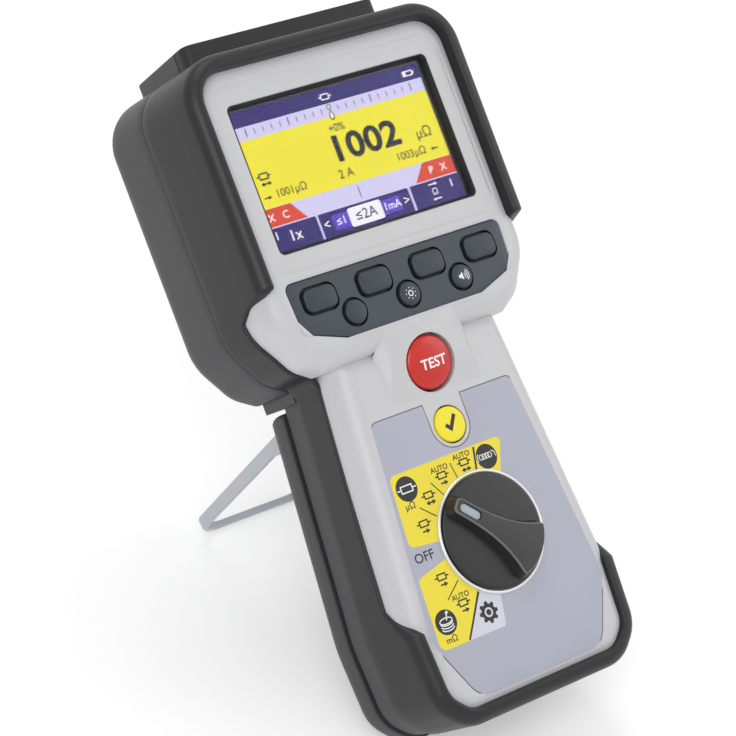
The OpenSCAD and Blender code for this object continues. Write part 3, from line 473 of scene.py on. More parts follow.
def front_case():
    """Grey front half: two lofts whose sides round over 8 mm into flat faces, the sloping ramp for the test
    button, and a well for each opening."""
    s = Shape()
    inset, r, back_w, side_w = 1.2, 8, -25.2, -16
    plate_floor, window_lip, panel_w = 2.2, 3.2, 0.3

    def loft(plan, face):
        side = [(inset, back_w), (inset, side_w)] + arc(inset + r, face - r, r, 180, 90, 12)
        g = rings(both(plan), side, spread(rounded(both(plan), 0, 12), 6), 12)
        s.add(skin(g)).add(sheet([g[0]], back_w, up=False))
        return g[-1]

    face = loft(HANDLE, 0)
    label_hole = label_outline(-0.12)
    tick_hole = circle(TICK_R + 0.55, 0, TICK_V)
    test_foot = circle(TEST_R + 0.55, 0, TEST_V)
    s.add(sheet([face, label_hole, test_foot, tick_hole], 0.0))
    # the wells round the tick and test buttons take the second finish, black: painted shade in the gaps round
    # the buttons
    for hole, depth, slot in ((label_hole, -0.32, 0), (tick_hole, -3.0, 1), (test_foot, -4.0, 1)):
        s.add(skin(wall(hole, 0, depth))).add(sheet([hole], depth), slot)
    face = loft(HEAD, HEAD_FACE)
    bezel = rings(both(BEZEL), [(-0.5, HEAD_FACE), (-0.42, HEAD_FACE - 0.03), (-0.2, HEAD_FACE - 0.2),
                                (0, BEZEL_FACE)])
    plate = rings(both(PLATE), [(-0.45, HEAD_FACE), (-0.25, HEAD_FACE - 0.12), (-0.15, HEAD_FACE - 0.4),
                                (-0.15, plate_floor)])
    s.add(sheet([face, bezel[0], plate[0]], HEAD_FACE))
    s.add(skin(bezel)).add(skin(plate)).add(sheet([plate[-1]], plate_floor), 1)
    opening = rings(both(WINDOW), [(-0.5, BEZEL_FACE), (-0.2, BEZEL_FACE - 0.08), (-0.03, BEZEL_FACE - 0.3),
                                   (0, window_lip)])
    s.add(sheet([bezel[-1], opening[0]], BEZEL_FACE)).add(skin(opening))
    s.add(skin(rings(both(WINDOW), [(0, window_lip), (0, panel_w)])), 1)
    s.add(sheet([opening[-1]], panel_w), 1)
    ramp(s)
    return s.finish("front_case_shell", ["moulded_abs_pale_grey", "black_moulding_and_painted_gap_shade"], replaces=["front_case"],
                    slot="pale_plastic", smooth=40)


def ramp(s):
    """The wedge under the test button: a sloping plane with a round hole, a short level top up to the key
    plate, and a narrow upright facet on each side, which tapers to a point at the foot."""
    foot, middle, top, top_v, hole_depth = 18.2, 14.2, 13.4, 129.2, 5.0
    hole, deep = ramp_place(wall(circle(TEST_R + 0.5), 0, -hole_depth))
    corners = np.array([(-foot, RAMP_FOOT), (foot, RAMP_FOOT), (middle, RAMP_TOP), (-middle, RAMP_TOP)])
    flat, faces = sheet([corners, hole[:, :2]], 0)
    flat[:, 2] = (flat[:, 1] - RAMP_FOOT) * math.tan(RAMP_ANGLE)
    s.add((flat, faces))
    s.add(skin(np.array([deep, hole])[:, ::-1]))
    level = HEAD_FACE + 0.02
    for side in (1, -1):
        points = np.array([(foot, RAMP_FOOT, 0), (middle, RAMP_TOP, HEAD_FACE), (top, top_v, level),
                           (top + 1.2, top_v, HEAD_FACE - 0.1), (foot + 0.9, 121.5, -0.6)]) * (side, 1, 1)
        faces = [(0, 4, 1), (1, 4, 3), (1, 3, 2)]
        s.add((points, np.array(faces if side == 1 else [f[::-1] for f in faces])))
    s.add((np.array([(-middle, RAMP_TOP, HEAD_FACE), (middle, RAMP_TOP, HEAD_FACE), (top, top_v, level),
                     (-top, top_v, level)]), np.array([(0, 1, 2, 3)])))


def label_outline(inset=0.0):
    """Edge of the face label: a tapered shape with a round-bottomed notch round the tick button. inset moves
    every side inwards; below 0 it gives the pocket."""
    r = 7.6 + inset
    half = [(26, 7.4, 9), (36.7, 30, 9), (29.2, 102, 2.4), (7.6, 102, 1.4)]
    outer = rounded(both(half), inset, 8)
    keep = outer[np.abs(outer[:, 0]) > 7]
    keep[:, 0] = np.sign(keep[:, 0]) * np.maximum(np.abs(keep[:, 0]), r)
    right, left = keep[keep[:, 0] > 0], keep[keep[:, 0] < 0]
    a = np.linspace(0, -math.pi, 33)
    notch = np.column_stack((r * np.cos(a), TICK_V + r * np.sin(a)))
    return np.vstack((right, notch, left))


def bumper():
    """The soft bumper with the front part of the terminal tower, which is moulded with it."""
    s = Shape().add(bumper_shape())
    tower(s, -10, -16.45)
    return s.finish("bumper", ["soft_elastomer_bumper"], replaces=["front_overmould"], slot="bumper",
                    smooth=50)


def fan(n):
    """Triangles that fill a convex ring of n points."""
    i = np.arange(1, n - 1)
    return np.column_stack((np.zeros(n - 2, int), i, i + 1))


def rear_case():
    """Dark rear half: the deep block behind the head, rounded 10 mm at the back, the strip along the handle,
    the neck block and the tower's rear part."""
    s = Shape()
    seam_w, back_w, seat_w, r = -25.75, -55, -46, 10
    places = spread(rounded(both(HEAD), 0, 14), 4)
    profile = arc(r, back_w + r, r, 270, 180, 12)
    profile += [(0, -40), (0, -30), (0, -26.3), (0.12, -25.95), (0.4, seam_w)]
    g = rings(both(HEAD), profile, places, 14)
    seats = [circle(3.1, u, v, 32) for u in (-45.2, 45.2) for v in (159, 197)]
    s.add(skin(g)).add(sheet([g[-1]], seam_w))
    s.add(sheet([g[0]] + seats, back_w, up=False))
    for seat in seats:
        s.add(skin(wall(seat, seat_w, back_w)[:, ::-1])).add(sheet([seat], seat_w, up=False))
    strip = rings(both(OUTLINE), [(1.3, -35.3), (1.0, -35.0), (1.0, -26.1), (1.3, -25.8)], None, 14)
    s.add(skin(strip)).add(sheet([strip[0]], -35.3, up=False)).add(sheet([strip[-1]], -25.8))
    s.add(box_shape((-36.4, 117.2, -45.5), (36.4, 127.2, -26)))
    tower(s, -16.95, -46)
    return s.finish("rear_case_shell", ["moulded_abs_dark_grey"], replaces=["rear_case"], slot="dark_plastic",
                    smooth=40)


def battery_cover():
    """Cover over the back of the handle: rounded 10 mm, sloped towards the hinge, with the groove that
    takes the stand and the room in which its arms swing. Each cutter reaches past the cover's back."""
    s = Shape()
    seam_w, back_w, below, r = -36.25, -51, -70, 10
    profile = arc(r, back_w + r, r, 270, 180, 10) + [(0, -38), (0, -36.5), (0.2, seam_w)]
    g = rings(both(COVER), profile, None, 12)
    s.add(skin(g)).add(sheet([g[-1]], seam_w)).add(sheet([g[0]], back_w, up=False))
    piece = s.finish("battery_cover_shell", ["moulded_abs_cover_grey"], replaces=["battery_cover"],
                     slot="dark_plastic", smooth=40)
    # sections of the cutters as (v, w): what the slope takes off, and the room of an arm
    slope = [(60, -60), (73.5, -52.0), (103.2, -45.4), (130, -45.4), (130, -60)]
    cut(piece, block(slope, -60, 60))
    groove_w = HINGE_W - 0.5
    room = [(82, groove_w + 0.05), (102.5, -36), (116.5, -36), (116.5, below - 1), (82, below - 1)]
    for low, high in ((-30, -24.9), (24.9, 30)):
        cut(piece, block(room, low, high))
    outer, inner = (bail_plan(inset) + (0, HINGE_V) for inset in (-GROOVE_GAP, 2 * BAR_HALF + GROOVE_GAP))
    groove = Shape().add(skin(wall(outer, below, groove_w))).add(skin(wall(inner, below, groove_w)[:, ::-1]))
    groove.add(sheet([outer, inner], groove_w)).add(sheet([outer, inner], below, up=False))
    cut(piece, solid(groove))
    piece.data.set_sharp_from_angle(angle=math.radians(40))
    return piece


def block(section, low, high):
    """A closed cutter with one section of (v, w) points from u = low to u = high. The section is convex,
    and runs clockwise."""
    return solid(capped(Shape(), np.array([np.column_stack((np.full(len(section), u), section))
                                           for u in (low, high)])))


def solid(shape):
    """A bare closed mesh for cutting with."""
    mesh = bpy.data.meshes.new("cutter")
    faces = [tuple(f) for group in shape.faces for f in group.tolist()]
    mesh.from_pydata(place(np.vstack(shape.points)).tolist(), [], faces)
    weld(mesh, CUTTER_MERGE / 1000)
    piece = bpy.data.objects.new("cutter", mesh)
    bpy.context.collection.objects.link(piece)
    return piece


def bail_plan(inset, reach=9.0):
    """Plan of the stand lying flat, hinge at the origin, foot towards minus v."""
    return rounded(both([(26.6, -98.5, 12), (29, reach, 0.1)]), inset, 20)


def stand():
    """The bail: a bar carried along its path. From each pivot it runs down an arm, round the corner and
    across the foot. Its section is a superellipse, |x| ** 5 + |y| ** 5 = 1, so a rounded rectangle, whose
    depth changes with the distance from the hinge: full at the lug, thinner towards the foot."""
    squareness, lug_u, pivot_r = 5, 27.9, 2.2
    path = bail_plan(BAR_HALF, -0.6)
    path = path[np.argsort(np.arctan2(path[:, 0], -(path[:, 1] + 40)))]
    path = path[path[:, 1] < -0.5]
    gap = np.concatenate(([0], np.cumsum(np.linalg.norm(np.diff(path, axis=0), axis=1))))
    even = np.linspace(0, gap[-1], 181)
    path = np.column_stack([np.interp(even, gap, path[:, i]) for i in (0, 1)])
    along = np.gradient(path, axis=0)
    along /= np.linalg.norm(along, axis=1)[:, None]
    left = np.column_stack((-along[:, 1], along[:, 0]))
    # the bar's lower and upper side in w, by distance from the hinge
    low = np.interp(-path[:, 1], [0, 94, 98], [-5.57, -5.57, -3.4])
    high = np.interp(-path[:, 1], [0, 5.6, 13, 24, 60, 98], [5.4, 5.2, 2.6, -0.7, -0.9, -1.2])
    a = np.radians(np.linspace(0, 360, 25)[:-1])
    x, y = (np.sign(part) * np.abs(part) ** (2 / squareness) for part in (np.cos(a), np.sin(a)))
    xy = path[:, None] + left[:, None] * (x[None, :, None] * BAR_HALF)
    w = (high + low)[:, None] / 2 + y * (high - low)[:, None] / 2
    s = capped(Shape(), open_stand(np.concatenate((xy, w[..., None]), -1)))
    b = np.linspace(0, 2 * math.pi, 48, endpoint=False)
    rows = [(lug_u - 1.2, 5.2), (lug_u - 1.0, 5.6), (lug_u + 1.0, 5.6), (lug_u + 1.2, 5.2),
            (29.0, pivot_r), (32.2, pivot_r), (32.4, pivot_r - 0.3)]
    for side in (-1, 1):
        capped(s, open_stand([np.column_stack((np.full(48, side * u), r * np.cos(b), side * r * np.sin(b)))
                              for u, r in rows]))
    return s.finish("stand_bail", ["frosted_polycarbonate"], body="stand", replaces=["stand"],
                    slot="clear_stand", smooth=50)


def open_stand(points):
    """Turns the flat stand about its hinge by its opening angle."""
    p = np.asarray(points, float)
    s, c = math.sin(OPEN_ANGLE), math.cos(OPEN_ANGLE)
    return np.stack((p[..., 0], HINGE_V + p[..., 1] * c - p[..., 2] * s,
                     HINGE_W + p[..., 1] * s + p[..., 2] * c), -1)


def key_dome(points, base, top, ease, crown=0.25):
    """A key cap: straight sides, an eased edge, and a crowned top that rises towards the middle by
    crown * (1 - k ** 2), where k is 1 at its edge and 0 in the middle."""
    g = rings(points, [(0, base), (0, top - ease)] + arc(ease, top - ease, ease, 180, 90, 5)[1:], None, 8)
    centre = g[-1].mean(0)
    inner = [centre + (g[-1] - centre) * k + (0, 0, crown * (1 - k * k)) for k in (0.9, 0.7, 0.45, 0.2)]
    return np.concatenate((g, inner))


def capped(s, g, slot=0):
    """Adds a grid of rings with both its ends closed."""
    s.add(skin(g), slot).add((g[-1], fan(g.shape[1])), slot).add((g[0][::-1], fan(g.shape[1])), slot)
    return s


def rectangle(u, v, width, height, r):
    """Corners of a rounded rectangle about (u, v)."""
    return [(u + x * width / 2, v + y * height / 2, r) for x, y in ((-1, -1), (1, -1), (1, 1), (-1, 1))]


def keypad(sizes):
    """Slate plate with its openings, four soft keys and three round keys."""
    soft_w, soft_h, round_r = (1000 * x for x in (sizes.soft_width, sizes.soft_height, sizes.round_radius))
    low, top, hole_floor, key_foot = 2.3, 4.08, 2.35, 2.0
    soft_u = [(i - 1.5) * KEY_PITCH for i in range(4)]
    round_u = [(i - 1) * KEY_PITCH for i in range(3)]
    holes = [rounded(rectangle(u, SOFT_V, soft_w + 1.9, soft_h + 1.9, 3.4), 0, 8) for u in soft_u]
    holes += [circle(round_r + 0.9, u, ROUND_V, 40) for u in round_u]
    edge = rings(both(PLATE), [(0.1, low), (0.1, top - 0.25), (0.18, top - 0.08), (0.35, top)])
    s = Shape().add(skin(edge)).add(sheet([edge[-1]] + holes, top))
    # the walls and floors of the openings are black: painted shade in the gaps round the keys
    for hole in holes:
        s.add(skin(wall(hole, top, hole_floor)), 1).add(sheet([hole], hole_floor), 1)
    s.add(sheet([edge[0]], low, up=False))
    s.finish("keypad_plate_slate", ["keypad_plate_slate", "black_moulding_and_painted_gap_shade"], replaces=["keypad_plate"],
             slot="keypad", smooth=40)
    for i, u in enumerate(soft_u):
        name = "soft_key_%d" % (i + 1)
        key = capped(Shape(), key_dome(rectangle(u, SOFT_V, soft_w, soft_h, 2.6), key_foot, 5.25, 0.55))
        key.finish("soft_key_cap_%d" % (i + 1), ["silicone_key_slate"], body=name, replaces=[name],
                   slot="keycap", smooth=60)
    dome = [(round_r, key_foot), (round_r, 4.75), (round_r - 0.15, 5.05), (round_r - 0.45, 5.2), (2.8, 5.3),
            (1.6, 5.36), (0.5, 5.38)]
    for i, u in enumerate(round_u):
        name = "round_key_%d" % (i + 1)
        key = capped(Shape(), lathe(dome, u, ROUND_V, 48))
        if i:
            key_icon(key, i)
        key.finish("round_key_cap_%d" % (i + 1), ["silicone_key_slate", "printed_ink_white"], body=name,
                   replaces=[name], slot="keycap", smooth=60)


def flat_line(points, width, level, closed=False):
    """A line of even width through points, as a flat strip: each point moved to both sides along the
    bisector of its neighbours' normals."""
    p = np.asarray(points, float)
    step = np.diff(np.vstack((p, p[:1])) if closed else p, axis=0)
    step /= np.linalg.norm(step, axis=1)[:, None]
    n = np.column_stack((-step[:, 1], step[:, 0]))
    if closed:
        a, b = np.roll(n, 1, 0), n
    else:
        a, b = np.vstack((n[:1], n)), np.vstack((n, n[-1:]))
    m = (a + b) / (1 + (a * b).sum(1))[:, None]
    left, right = p + m * width / 2, p - m * width / 2
    if closed:
        left, right = np.vstack((left, left[:1])), np.vstack((right, right[:1]))
    k = len(left)
    pts = np.column_stack((np.vstack((right, left)), np.full(2 * k, level)))
    i = np.arange(k - 1)
    return pts, np.column_stack((i, i + 1, i + 1 + k, i + k))


def moved(surface, u, v):
    """A surface moved by (u, v)."""
    points, faces = surface
    return points + (u, v, 0), faces


def words(text, height, u, v, level, bold=0.0, squeeze=1.0):
    """Flat lettering in Blender's own font, height of a capital in millimetres, centred on (u, v). bold
    swells the strokes, and squeeze stretches the width."""
    curve = bpy.data.curves.new("words", "FONT")
    curve.body, curve.align_x, curve.align_y = text, "CENTER", "CENTER"
    curve.size, curve.offset, curve.resolution_u, curve.fill_mode = 1.0, bold, 3, "FRONT"
    item = bpy.data.objects.new("words", curve)
    bpy.context.collection.objects.link(item)
    graph = bpy.context.evaluated_depsgraph_get()
    mesh = bpy.data.meshes.new_from_object(item.evaluated_get(graph))
    p = np.empty(len(mesh.vertices) * 3)
    mesh.vertices.foreach_get("co", p)
    p = p.reshape(-1, 3)
    mesh.calc_loop_triangles()
    f = np.empty(len(mesh.loop_triangles) * 3, np.int32)
    mesh.loop_triangles.foreach_get("vertices", f)
    f = f.reshape(-1, 3)
    bpy.data.objects.remove(item)
    bpy.data.curves.remove(curve)
    bpy.data.meshes.remove(mesh)
    scale = height / CAPITAL
    q = np.column_stack((p[:, 0] * scale * squeeze, p[:, 1] * scale, np.full(len(p), level)))
    a, b, c = (q[f[:, i], :2] for i in range(3))
    wrong = (b - a)[:, 0] * (c - a)[:, 1] - (b - a)[:, 1] * (c - a)[:, 0] < 0
    f[wrong] = f[wrong][:, ::-1]
    return moved((q, f), u, v)


def key_icon(key, i):
    """Sun on the middle round key, loudspeaker on the right one, just above the crown."""
    u, level = (i - 1) * KEY_PITCH, 5.4
    if i == 1:
        key.add(moved(flat_line(circle(0.85, steps=24), 0.34, level, True), u, ROUND_V), 1)
        for t in np.radians(range(0, 360, 45)):
            key.add(sheet([circle(0.2, u + 1.85 * math.cos(t), ROUND_V + 1.85 * math.sin(t), 10)], level), 1)
    else:
        horn = [(-1.7, -0.5), (-1.0, -0.5), (0, -1.4), (0, 1.4), (-1.0, 0.5), (-1.7, 0.5)]
        key.add(moved(sheet([horn], level), u, ROUND_V), 1)
        for r in (0.9, 1.6, 2.3):
            key.add(moved(flat_line(arc(0, 0, r, -50, 50, 11), 0.3, level), u, ROUND_V), 1)


def buttons():
    """Test button: a shallow dome with an eased rim on the ramp's axis, and its word, which follows the
    dome. Tick button: a flat disc with an eased rim, and a tick printed on it."""
    dome = [(9.1, -5), (9.1, -1.7), (9.0, -1.15), (8.75, -0.65), (8.3, -0.3), (7.4, 0.0), (6, 0.25),
            (4, 0.45), (2, 0.55), (0.6, 0.58)]
    s = capped(Shape(), ramp_place(lathe(dome)))
    points, faces = words("TEST", 3.3, 0.9, -0.4, 0, bold=0.022)
    points[:, 2] = 0.64 - (points[:, 0] ** 2 + points[:, 1] ** 2) / 110
    s.add((ramp_place(points), faces), 1)
    s.finish("test_button_cap", ["glossy_abs_red", "printed_ink_white"], body="test_button",
             replaces=["test_button"], slot="test_red", smooth=60)
    rim = [(TICK_R, -3), (TICK_R, -0.1), (5.75, 0.25), (5.5, 0.4), (5.2, 0.42), (3, 0.44), (0.5, 0.45)]
    s = capped(Shape(), lathe(rim, 0, TICK_V, 72))
    s.add(flat_line([(-2.1, TICK_V + 0.1), (-0.5, TICK_V - 1.5), (2.4, TICK_V + 2.7)], 1.35, 0.5), 1)
    s.finish("tick_button_cap", ["glossy_abs_yellow", "printed_ink_black"], body="tick_button",
             replaces=["tick_button"], slot="tick_yellow", smooth=60)


def blank(plan, level, inset=0.0):
    """A flat rounded shape at one level."""
    return sheet([rounded(plan, inset, 6)], level)


def resistor(u, v, level, wide=3.2, tall=1.9, lead=1.2, line=0.5):
    """Resistor sign: an open box with a lead at each end."""
    box_line = np.array([(-1, -1), (1, -1), (1, 1), (-1, 1)]) * (wide / 2, tall / 2)
    parts = [moved(flat_line(box_line, line, level, True), u, v)]
    for s in (-1, 1):
        parts.append(flat_line([(u + s * wide / 2, v), (u + s * (wide / 2 + lead), v)], line, level))
    return parts


def arrow(u, v, level, ends, length=3.4, line=0.5):
    """Arrow about (u, v) with a head at each end that ends names: 1 is its right, -1 its left."""
    head = line * 2.6
    wide = head * 0.6
    low, high = (u + side * (length / 2 - (head if side in ends else 0)) for side in (-1, 1))
    parts = [flat_line([(low, v), (high, v)], line, level)]
    for side in ends:
        tip = u + side * length / 2
        parts.append(sheet([[(tip, v), (tip - side * head, v + wide), (tip - side * head, v - wide)]], level))
    return parts


def gear(u, v, level, r, teeth=8):
    """Toothed wheel: the radius steps between root and tip on sloping flanks, round a ring-shaped hole."""
    t = np.arange(teeth)[:, None] * 2 * math.pi / teeth
    offset, radius = np.array([-0.27, -0.14, 0.14, 0.27]), np.array([0.76, 1, 1, 0.76]) * r
    a = (t + offset).ravel()
    outer = np.column_stack((u + np.tile(radius, teeth) * np.cos(a), v + np.tile(radius, teeth) * np.sin(a)))
    return [sheet([outer, circle(r * 0.44, u, v, 32)], level), sheet([circle(r * 0.27, u, v, 32)], level)]


def several(s, parts, slot):
    """Adds a list of surfaces with one material."""
    for part in parts:
        s.add(part, slot)


# Prints on the label: (u, v) of each range position's resistor sign, the ends of its arrow that have a
# head, and whether it says AUTO
RANGE_MARKS = [(-0.3, 80.1, (-1, 1), True), (-10.2, 78.6, (1,), True), (-17.8, 74.2, (-1, 1), False),
               (-23.3, 66.2, (1,), False), (-24.1, 48.3, (1,), False), (-19.8, 38.1, (1,), True)]


def printed_label():
    """The label: a lilac-grey film in its pocket with a thin dark edge, and on it the yellow fields of the
    two ranges, the settings field, the dividing lines and the signs, each a flat shape above the last."""
    lilac, yellow, black, grey, pale, white = range(6)
    s = Shape()
    edge, film = wall(label_outline(0.02), -0.06), wall(label_outline(0.26), 0.01)
    s.add(sheet(edge, -0.06), grey).add(sheet(film, 0.01), lilac)
    s.add(skin(np.concatenate((edge, film))), grey)
    upper = [(11.2, 71.0, 0.1), (16.6, 84.0, 1.4), (-29.4, 83.7, 2.0), (-31.5, 60.6, 2.0), (-20.4, 59.5, 0.1),
             (-14, 70, 0.1)]
    lower = [(-19.5, 53.2, 0.1), (-32.6, 49.9, 1.2), (-33.9, 26.3, 2.4), (-22.4, 26.3, 0.1),
             (-12.6, 40.0, 0.1)]
    setting = [(-22.4, 26.3, 0.1), (-7.3, 26.2, 1.0), (-4.9, 38.0, 0.1), (-13.0, 39.6, 0.1)]
    # each field covers a dark backing, which is a little smaller
    for plan, slot in ((upper, yellow), (lower, yellow), (setting, pale)):
        s.add(blank(plan, 0.022, 0.25), black).add(blank(plan, 0.034, -0.25), slot)
    level, ink = 0.046, 0.058
    for start, end, width in (((5.3, 83.6), (3.2, 75.4), 0.75), ((-5.6, 81.4), (-4.7, 75.6), 0.38),
                              ((-15.3, 77.6), (-12.0, 72.3), 0.38), ((-22.7, 71.4), (-17.6, 66.9), 0.38),
                              ((-24.9, 40.7), (-18.6, 45.4), 0.38), ((-22.4, 26.3), (-12.8, 39.4), 0.7)):
        s.add(flat_line([start, end], width, level), black)
    for u, v, ends, auto in RANGE_MARKS:
        several(s, resistor(u, v, level), black)
        several(s, arrow(u + 0.1, v - 2.5, level, ends, 4.0 if len(ends) == 2 else 3.0, 0.55), black)
        if auto:
            s.add(words("AUTO", 1.75, u - 0.1, v + 2.3, level, bold=0.02), black)
    for u, v in ((9.0, 79.2), (-24.8, 78.5), (-28.6, 34.4)):
        s.add(sheet([circle(4.15, u, v, 48)], level), black)
    several(s, resistor(-24.8, 78.5, ink, 4.4, 2.2, 1.6, 0.4), white)
    # winding: four turns and a lead at each end
    for i in range(4):
        s.add(flat_line(circle(0.85, 6.9 + i * 1.15, 79.4, 20), 0.26, ink, True), white)
    s.add(flat_line([(5.2, 78.1), (5.4, 80.2), (6.0, 80.6)], 0.3, ink), white)
    s.add(flat_line([(11.3, 80.6), (12.4, 80.0), (12.6, 78.4)], 0.3, ink), white)
    # coil on its side: three edges, the top one closed to an oval, and an arrow out of it
    for v, height, start, end, count in ((34.4, 1.1, 190, 350, 16), (33.5, 1.1, 190, 350, 16),
                                         (32.6, 1.1, 190, 350, 16), (34.8, 1, 0, math.degrees(6.2), 24)):
        a = np.radians(np.linspace(start, end, count))
        oval = np.column_stack((-28.5 + 2.5 * np.cos(a), v + height * np.sin(a)))
        s.add(flat_line(oval, 0.36, ink), white)
    s.add(flat_line([(-28.2, 34.9), (-27.3, 37.2)], 0.45, ink), white)
    s.add(sheet([[(-28.1, 37.0), (-26.5, 36.9), (-27.0, 38.0)]], ink), white)
    s.add(words("μΩ", 2.2, -25.8, 72.9, level, bold=0.012), black)
    s.add(words("mΩ", 2.1, -28.7, 28.6, level, bold=0.012), black)
    s.add(words("OFF", 3.1, -27.6, 56.2, level, bold=0.008), black)
    several(s, gear(-11.8, 32.1, level, 3.7), black)
    s.finish("face_label_film", ["printed_film_lilac", "printed_film_yellow", "printed_ink_black",
                                 "printed_ink_grey", "printed_film_pale", "printed_ink_white"],
             replaces=["face_label"], slot="label")


def picture():
    """The lit picture of the display, on the panel under the window: bars and fields in colour, the scale
    with its pointer, the reading, the limits and the row of soft-key names. Each layer lies 0.012 mm above
    the last."""
    s = Shape()
    base, field, mark, front = (SCREEN_W + 0.012 * i for i in range(4))
    left, right, foot, head = -40, 38.0, 162.6, 210.2
    colours = ["navy", "lilac", "yellow", "black", "orange", "purple", "white", "green"]
    navy, lilac, yellow, black, orange, purple, white, green = range(8)

    def bar(u0, v0, u1, v1, level, slot):
        s.add(sheet([[(u0, v0), (u1, v0), (u1, v1), (u0, v1)]], level), slot)

    bar(left, foot, right, head, base, lilac)
    bar(left, 204.9, right, head, field, navy)
    bar(left, 177.4, right, 200.4, field, yellow)
    for i in range(21):
        u = -34.9 + 3.37 * i
        low, high, width = (201.5, 204.2, 0.42) if i % 5 == 0 else (201.8, 203.6, 0.3)
        if i != 10:
            s.add(flat_line([(u, low), (u, high)], width, field), navy)
    # the scale's pointer: a ring and a drop
    s.add(flat_line(circle(0.8, -1.2, 203.7, 24), 0.4, mark, True), green)
    drop = [(-1.2, 202.9), (-2.2, 200.9), (-2.0, 199.6), (-1.2, 199.1), (-0.4, 199.6), (-0.2, 200.9)]
    s.add(sheet([drop], mark), black)
    inner_drop = [(-1.2, 202.2), (-1.8, 200.8), (-1.6, 199.9), (-1.2, 199.6), (-0.8, 199.9), (-0.6, 200.8)]
    s.add(sheet([inner_drop], front), white)
    # the battery sign
    bar(31.2, 206.4, 35.4, 208.3, mark, white)
    bar(35.4, 206.9, 35.9, 207.8, mark, white)
    bar(32.6, 206.8, 35.0, 207.9, front, navy)
    several(s, resistor(-1.3, 207.3, mark, 3.0, 1.7, 1.1, 0.4), white)
    for text, height, u, v, bold, squeeze in (
            ("+0%", 2.6, -1.2, 196.5, 0.01, 1), ("1002", 8.3, 7.2, 189.3, 0.03, 1.2),
            ("μΩ", 3.5, 31.0, 186.9, 0.006, 1), ("1003μΩ", 2.6, 23.2, 181.2, 0.008, 1),
            ("1001μΩ", 2.6, -26.2, 181.2, 0.008, 1), ("2 A", 2.9, -3.9, 181.2, 0.008, 1)):
        s.add(words(text, height, u, v, mark, bold, squeeze), black)
    several(s, arrow(32.9, 180.9, mark, (-1,), 3.0, 0.45), black)
    several(s, arrow(-35.6, 180.8, mark, (1,), 3.0, 0.45), black)
    several(s, resistor(-34.4, 187.9, mark), black)
    several(s, arrow(-34.3, 185.3, mark, (-1, 1), 4.2), black)
    for side, shoulder, toe, letters in ((left, -28.5, -23.9, (("X", -37.1), ("C", -31.5))),
                                         (right, 26, 20.9, (("P", 28.5), ("X", 33.7)))):
        s.add(sheet([[(side, 171.3), (toe, 171.3), (shoulder, 177.3), (side, 177.3)]], mark), orange)
        for letter, u in letters:
            s.add(words(letter, 2.5, u, 174.1, front, bold=0.01), white)
    s.add(flat_line([(-1.55, 172.2), (-1.55, 176.2)], 0.35, mark), navy)
    # the row of soft-key names
    for u0, u1 in ((left, -21.1), (-20.3, 16.8), (17.7, right)):
        s.add(blank([(u0, foot, 0.1), (u1, foot, 0.6), (u1, 170.9, 0.6), (u0, 170.9, 0.1)], field), navy)
    bar(-15.4, 164.4, -8.9, 169.4, mark, purple)
    bar(5.1, 164.4, 12.5, 169.4, mark, purple)
    s.add(blank(rectangle(-2.1, 166.9, 13.6, 6.4, 0.9), mark), white)
    for text, height, u, colour in (
            ("≤1", 2.6, -12.2, white), ("≤2A", 3.4, -2.2, navy), ("1mA", 2.6, 8.8, white),
            ("<", 3.0, -18.0, white), (">", 3.0, 14.9, white), ("1x", 3.6, -30.7, white),
            ("Ω", 2.2, 27.0, white)):
        s.add(words(text, height, u, 166.9, front, bold=0.008), colour)
    several(s, arrow(27, 169.6, front, (1,), 3.6, 0.4) + arrow(27, 164.5, front, (-1,), 3.6, 0.4), white)
    for u in (-37.6, 34.4):
        s.add(flat_line([(u, 167.0), (u, 169.6)], 0.5, front), white)
    s.finish("display_picture", ["lit_" + colour for colour in colours], slot="display", smooth=10)


def knob_place(points, angle):
    """Turns a shape drawn along the pointer's axis to the knob's rest angle, about the knob's axis."""
    p = np.asarray(points, float)
    s, c = math.sin(angle), math.cos(angle)
    return np.stack((p[..., 0] * c - p[..., 1] * s, KNOB_V + p[..., 0] * s + p[..., 1] * c, p[..., 2]), -1)


